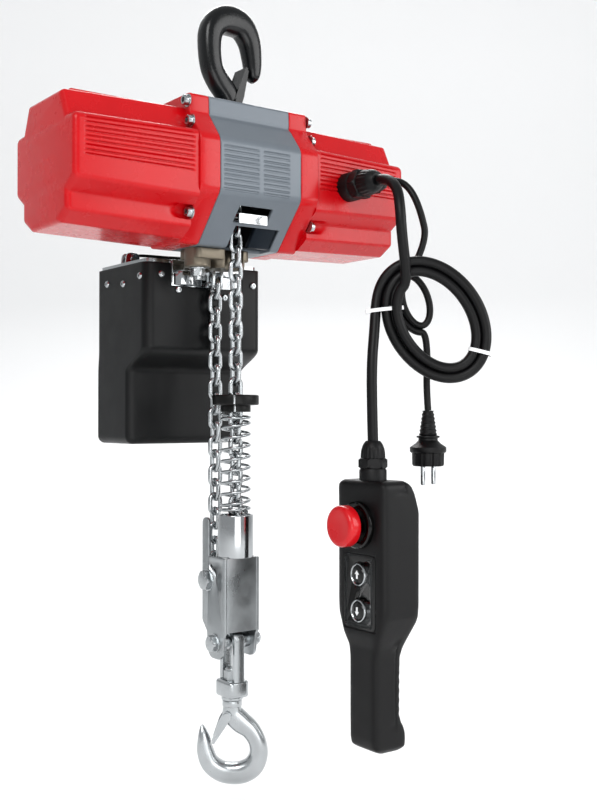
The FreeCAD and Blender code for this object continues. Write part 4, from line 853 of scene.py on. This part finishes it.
piece("pendant_shell", [pendant()], shell_black, "hoist", ["pendant_front", "pendant_back"], smooth=40)
panel = slab(outline([(PEND_Y - 23.4, -443.6, 5), (PEND_Y + 23.4, -443.6, 5), (PEND_Y + 23.4, -371.4, 5),
                      (PEND_Y - 23.4, -371.4, 5)]), "x", FACE_X + 0.7, FACE_X + 2.5, 0.3)
panel = piece("pendant_panel", [panel], gloss_black, "hoist")
cut(panel, [rod(9.3, 20, (FACE_X - 8, PEND_Y, z), (1, 0, 0), 0.1, 64) for z in (UP_Z, DOWN_Z)])
rings = [facing([(9.25, -1.5), (9.25, 1.1), (9.8, 1.7), (10.7, 1.5), (11.3, 0.2), (11.3, -1.5)], z)
         for z in (UP_Z, DOWN_Z)]
piece("button_bezels", rings, polished, "hoist")
base_ring = facing([(16.3, -1), (16.3, 3.6), (17.5, 5), (21, 5), (22.6, 4), (23, 2), (23, -1)], ESTOP_Z, 72)
piece("estop_base", [base_ring], gloss_black, "hoist")
for name, z, sign in (("up", UP_Z, 1), ("down", DOWN_Z, -1)):
    cap = facing([(0, 2.2), (3, 2.3), (6, 2.1), (8, 1.5), (8.9, 0.4), (9, -1), (9, -6), (0, -6)], z, 48)
    arrow = np.array([(0, 4.3), (3.2, 0.6), (1.2, 0.6), (1.2, -3.8), (-1.2, -3.8), (-1.2, 0.6), (-3.2, 0.6)])
    mark = slab(arrow * [1, sign] + [PEND_Y, z], "x", FACE_X - 2.6, FACE_X - 1.6, 0.05)
    piece(name + "_button_cap", [cap, mark], [gloss_black, white], name + "_button", [name + "_button"])
t = np.linspace(0, math.pi / 2, 12)
dome = np.stack([15.5 + 4.5 * np.sin(t), 26 - 4.5 + 4.5 * np.cos(t)], 1)
crown = [(0, 25.1), (6, 25.2), (11, 25.6), (14, 25.95)]
underside = [(20, 14.5), (19.4, 13.1), (15.2, 12.8), (15.0, 9.5), (4, 9.2), (4, -2), (0, -2)]
head = facing(np.concatenate([crown, dome, underside]), ESTOP_Z, 88)
piece("estop_mushroom", [head], red_plastic, "estop_head", ["estop_head"])
plunger = facing([(4.1, 8), (8.6, 8), (8.6, -10), (4.1, -10)], ESTOP_Z, 48)
piece("estop_plunger", [plunger], gloss_black, "estop_push", ["estop_stem"])


def gland(origin, axis, scale, length, bore):
    """Cable gland: foot, hexagon body, clamp nut with flutes, and a domed outlet over the cable."""
    foot = [(0, -3), (scale, -3), (scale, length * 0.24), (scale - 1, length * 0.28), (0, length * 0.28)]
    parts = [lathe(foot, origin, axis)]
    w = axis_frame(axis)[:, 2]
    at = np.asarray(origin, float) + w * length * 0.28
    parts.append(nut(scale * 1.86, length * 0.26, at, axis))
    h = np.linspace(0, 1, 15)
    r = scale * 0.9 * np.sqrt(np.clip(1 - (0.86 * h) ** 2.6, 0, 1))
    r = np.maximum(r, bore + 1.6)
    t = np.linspace(0, TAU, 120, endpoint=False)[None, :]
    flute = 1 - 0.05 * (0.5 + 0.5 * np.cos(18 * t)) * (h[:, None] < 0.6)
    local = np.stack([r[:, None] * flute * np.cos(t), r[:, None] * flute * np.sin(t),
                      (0.52 + 0.44 * h[:, None]) * length + 0 * t], axis=-1)
    parts.append(grid(local @ axis_frame(axis).T + np.asarray(origin, float), close_v=True, caps=True))
    return parts


for node, *place in (("pendant_gland", (87, PEND_Y, -300), (0, 0, 1), 13.5, 40, 5.25),
                     ("cable_gland", (111, -67, 1), (0, -1, 0), 15, 50, 5.25),
                     ("lead_gland", (137, -67, 6), (0, -1, 0), 10, 28, 3.5)):
    piece(node + "_body", gland(*place), shell_black, "hoist", [node])

# %% [markdown]
# ## Cables
# Both cables are single open NURBS splines through the same points as the CAD. The hung-up
# turns lie in a plane that faces the front left: an oval spiral r = r0 + p k for turn number k, which
# waves a little across its plane, so that strands lie side by side as on a tied coil.
# %% Cables
VIEW = math.radians(-36.1)
RIGHT, UP = np.array([math.cos(VIEW), math.sin(VIEW), 0]), np.array([0, 0, 1.0])
TOWARDS = np.array([math.sin(VIEW), -math.cos(VIEW), 0])


def turns_of(centre, major, minor, lean, first, last, spiral, gap, entry, leave, per=16):
    """Points of an oval spiral between turn numbers first and last that grows by spiral per turn and
    waves by gap across its plane."""
    count = int(per * (last - first)) + 1
    k = np.linspace(first, last, count)
    r = spiral * (k - (first + last) / 2)
    r = r + entry[0] * np.exp(-(k - first) * 7) + leave[0] * np.exp(-(last - k) * 7)
    w = gap * np.cos(math.pi * k)
    w = w + entry[1] * np.exp(-(k - first) * 6) + leave[1] * np.exp(-(last - k) * 6)
    a, b = (major + r) * np.cos(TAU * k), (minor + r) * np.sin(TAU * k)
    c, s = math.cos(math.radians(90 + lean)), math.sin(math.radians(90 + lean))
    right, up = a * c - b * s, a * s + b * c
    return np.asarray(centre, float) + right[:, None] * RIGHT + up[:, None] * UP + w[:, None] * TOWARDS


def cable(name, points, radius, body="hoist"):
    """A NURBS spline of order 3 that ends on its end points, bevelled to a round cable."""
    points = row(points)
    curve = bpy.data.curves.new(name, "CURVE")
    curve.dimensions, curve.bevel_depth, curve.bevel_resolution = "3D", radius * 0.001, 6
    curve.resolution_u, curve.use_fill_caps = 12, True
    spline = curve.splines.new("NURBS")
    spline.points.add(len(points) - 1)
    spline.points.foreach_set("co", np.concatenate([points, np.ones((len(points), 1))], 1).ravel())
    spline.order_u = 3
    spline.use_endpoint_u = True
    curve.materials.append(rubber)
    made = bpy.data.objects.new(name, curve)
    bpy.context.scene.collection.objects.link(made)
    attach(made, body)
    return made, points


COIL = ((145, -160, -144), 58.0, 41.0, 35)
cable_top = [(111, -117, 1), (110, -130, 0), (105, -151, -13), (99, -162, -35), (100, -163, -60)]
cable_tail = [(96, -127, -150), (89, -131, -184), (86.5, -134, -223), (87, -135, -262)]
coil = turns_of(*COIL, 0.0, 2.1, 10.0, 1.5, (0, 9), (0, -6))
pendant_cable, points = cable("pendant_cable", np.concatenate([cable_top, coil, cable_tail]), 5.25)
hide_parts("pendant_cable_top", "pendant_cable_coil", "pendant_cable_tail")
PLUG = (154.5, -141, -232)
lead_top = [(137, -95, 6), (137.5, -107, 5.5), (140, -122, 0), (144, -132, -13), (149, -138, -34),
            (154, -140, -58)]
lead_tail = [(154, -141, -178), (153, -140, -206), PLUG]
loops = turns_of((144, -132, -122), 27.5, 15.0, 20, 0.0, 1.5, 7.0, 1.0, (0, 4), (0, 0))
mains_lead, points = cable("mains_lead", np.concatenate([lead_top, loops, lead_tail]), 3.5)
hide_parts("mains_lead_top", "mains_lead_loops", "mains_lead_tail")

PINS = np.array([math.cos(math.radians(13.9)), math.sin(math.radians(13.9)), 0])
t = np.linspace(0, 1, 29)
relief = np.stack([5.0 + 3.4 * t + 0.8 * (0.5 + 0.5 * np.cos(TAU * 6 * t)), -24 * t], 1)
shell = [(8.6, -25), (11.5, -25.6), (11.8, -27), (9.6, -28), (9.8, -30), (12.5, -33), (17, -36), (18.4, -37),
         (18.4, -41), (17.8, -42), (16.2, -43), (16.0, -54), (15.2, -55.8), (14.4, -56), (0, -56)]
t = np.linspace(0, TAU, 96, endpoint=False)[None, :]
r, h = np.array([(0, 0), (3.4, 0), *relief, *shell]).T[:, :, None]
ribs = 1 - 0.07 * smooth((np.cos(12 * t) - 0.2) / 0.5) * ((h < -42.5) & (h > -55.9))
body = np.stack([r * ribs * np.cos(t), r * ribs * np.sin(t), h + 0 * t], -1) + np.array(PLUG)
plug = piece("plug_shell", [grid(body, close_v=True)], shell_black, "hoist", ["plug_body"])
pins = [rod(2.4, 22, np.array(PLUG) + PINS * s - [0, 0, 75], (0, 0, 1), 1.4) for s in (-9.5, 9.5)]
prongs = piece("plug_prongs", pins, polished, "hoist", ["plug_pins"])


def tie(centre, major, minor, lean, k, size):
    """A strap round the coil's strands at turn number k, square to their run, with its small lock."""
    here = turns_of(centre, major, minor, lean, k, k + 0.01, 0, 0, (0, 0), (0, 0), 400)
    along = here[-1] - here[0]
    along /= np.linalg.norm(along)
    outward = here[0] - np.asarray(centre)
    outward -= along * (outward @ along)
    outward /= np.linalg.norm(outward)
    frame_axes = np.stack([outward, np.cross(along, outward), along], axis=1)
    a = np.linspace(0, TAU, 60, endpoint=False)
    loop = np.stack([size * np.cos(a), 6.3 * np.sign(np.sin(a)) * np.abs(np.sin(a)) ** 0.6], 1)
    rings = np.stack([loop, loop * 1.09, loop * 1.09, loop])
    height = np.broadcast_to(np.array([-1.8, -1.8, 1.8, 1.8])[:, None, None], (4, 60, 1))
    local = np.concatenate([rings, height], -1)
    lock_loop = outline([(size, -3, 1), (size + 5, -3, 1), (size + 5, 3, 1), (size, 3, 1)])
    lock = slab(lock_loop, "z", -2.5, 2.5, 0.6)
    shapes = [grid(local, close_u=True, close_v=True), lock]
    return [moved(s, here[0], frame_axes) for s in shapes]


ties = tie(*COIL, 0.139, 15.8) + tie(*COIL, 0.583, 10.8)
piece("cable_ties", ties, white, "hoist")

# %% [markdown]
# ## Stage
# A pale sweep, four soft lights and the camera, which looks from the front left.
# %% Floor, light and camera
u, v = np.linspace(0, 1, 90)[:, None], np.linspace(-1, 1, 2)[None, :]
bend = np.clip((u - 0.4) / 0.4, 0, 1) * math.pi / 2
sweep_y = -3 + 10 * np.minimum(u, 0.4) + 1.6 * np.sin(bend)
sweep_z = 1.6 * (1 - np.cos(bend)) + 22 * np.clip(u - 0.8, 0, 1)
local = np.stack([7 * v + 0 * u, sweep_y + 0 * v, sweep_z + 0 * v], -1)
local = local @ turn((0, 0, 1), -36.1).T
local[..., 2] -= 0.80
mesh_points, mesh_faces = grid(local)
mesh = bpy.data.meshes.new("floor")
mesh.from_pydata(mesh_points.tolist(), [], mesh_faces[0].tolist())
mesh.polygons.foreach_set("use_smooth", np.ones(len(mesh.polygons), bool))
floor = bpy.data.objects.new("floor", mesh)
bpy.context.scene.collection.objects.link(floor)
mesh.materials.append(finish("backdrop", "#FFFFFF", 0.8, bump=0.0, drift=0.0, dull=0.02))


def lamp(name, place, target, size, power):
    """A soft square light at place that faces target, in the row frame in metres."""
    light = bpy.data.lights.new(name, "AREA")
    light.shape, light.size, light.energy = "SQUARE", size, power
    made = bpy.data.objects.new(name, light)
    bpy.context.scene.collection.objects.link(made)
    aim = np.asarray(target, float) - np.asarray(place, float)
    made.location = place
    made.rotation_mode = "QUATERNION"
    made.rotation_quaternion = Vector(aim).to_track_quat("-Z", "Y")


lamp("key", (-1.5, -1.3, 1.0), (0, 0, -0.3), 1.1, 30)
lamp("fill", (1.3, -1.6, 0.2), (0, 0, -0.35), 1.3, 22)
lamp("low", (-0.5, -1.5, -0.6), (0, 0, -0.35), 1.0, 9)
lamp("back", (0.9, 1.3, 1.0), (0, 0, -0.2), 0.9, 20)
bpy.context.scene.view_settings.view_transform = "Standard"
bpy.context.scene.view_settings.exposure = 0.0
world = bpy.data.worlds.new("studio")
bpy.context.scene.world = world
world.use_nodes = True
world.node_tree.nodes["Background"].inputs[0].default_value = linear("#F4F6F8")
world.node_tree.nodes["Background"].inputs[1].default_value = 0.60

camera = bpy.data.objects.new("camera", bpy.data.cameras.new("camera"))
bpy.context.scene.collection.objects.link(camera)
camera.data.lens, camera.data.sensor_width, camera.data.sensor_height = 49.66, 36.0, 36.0
forward, right = np.array([0.5892, 0.8079, 0.0122]), np.array([0.808, -0.589, 0.0])
forward /= np.linalg.norm(forward)
right -= forward * (right @ forward)
right /= np.linalg.norm(right)
up = np.cross(right, forward)
pose = np.eye(4)
pose[:3, :3] = np.stack([right, up, -forward], axis=1)
pose[:3, 3] = (-0.6149, -0.9655, -0.3929)
camera.matrix_world = Matrix(pose.tolist())
bpy.context.scene.camera = camera
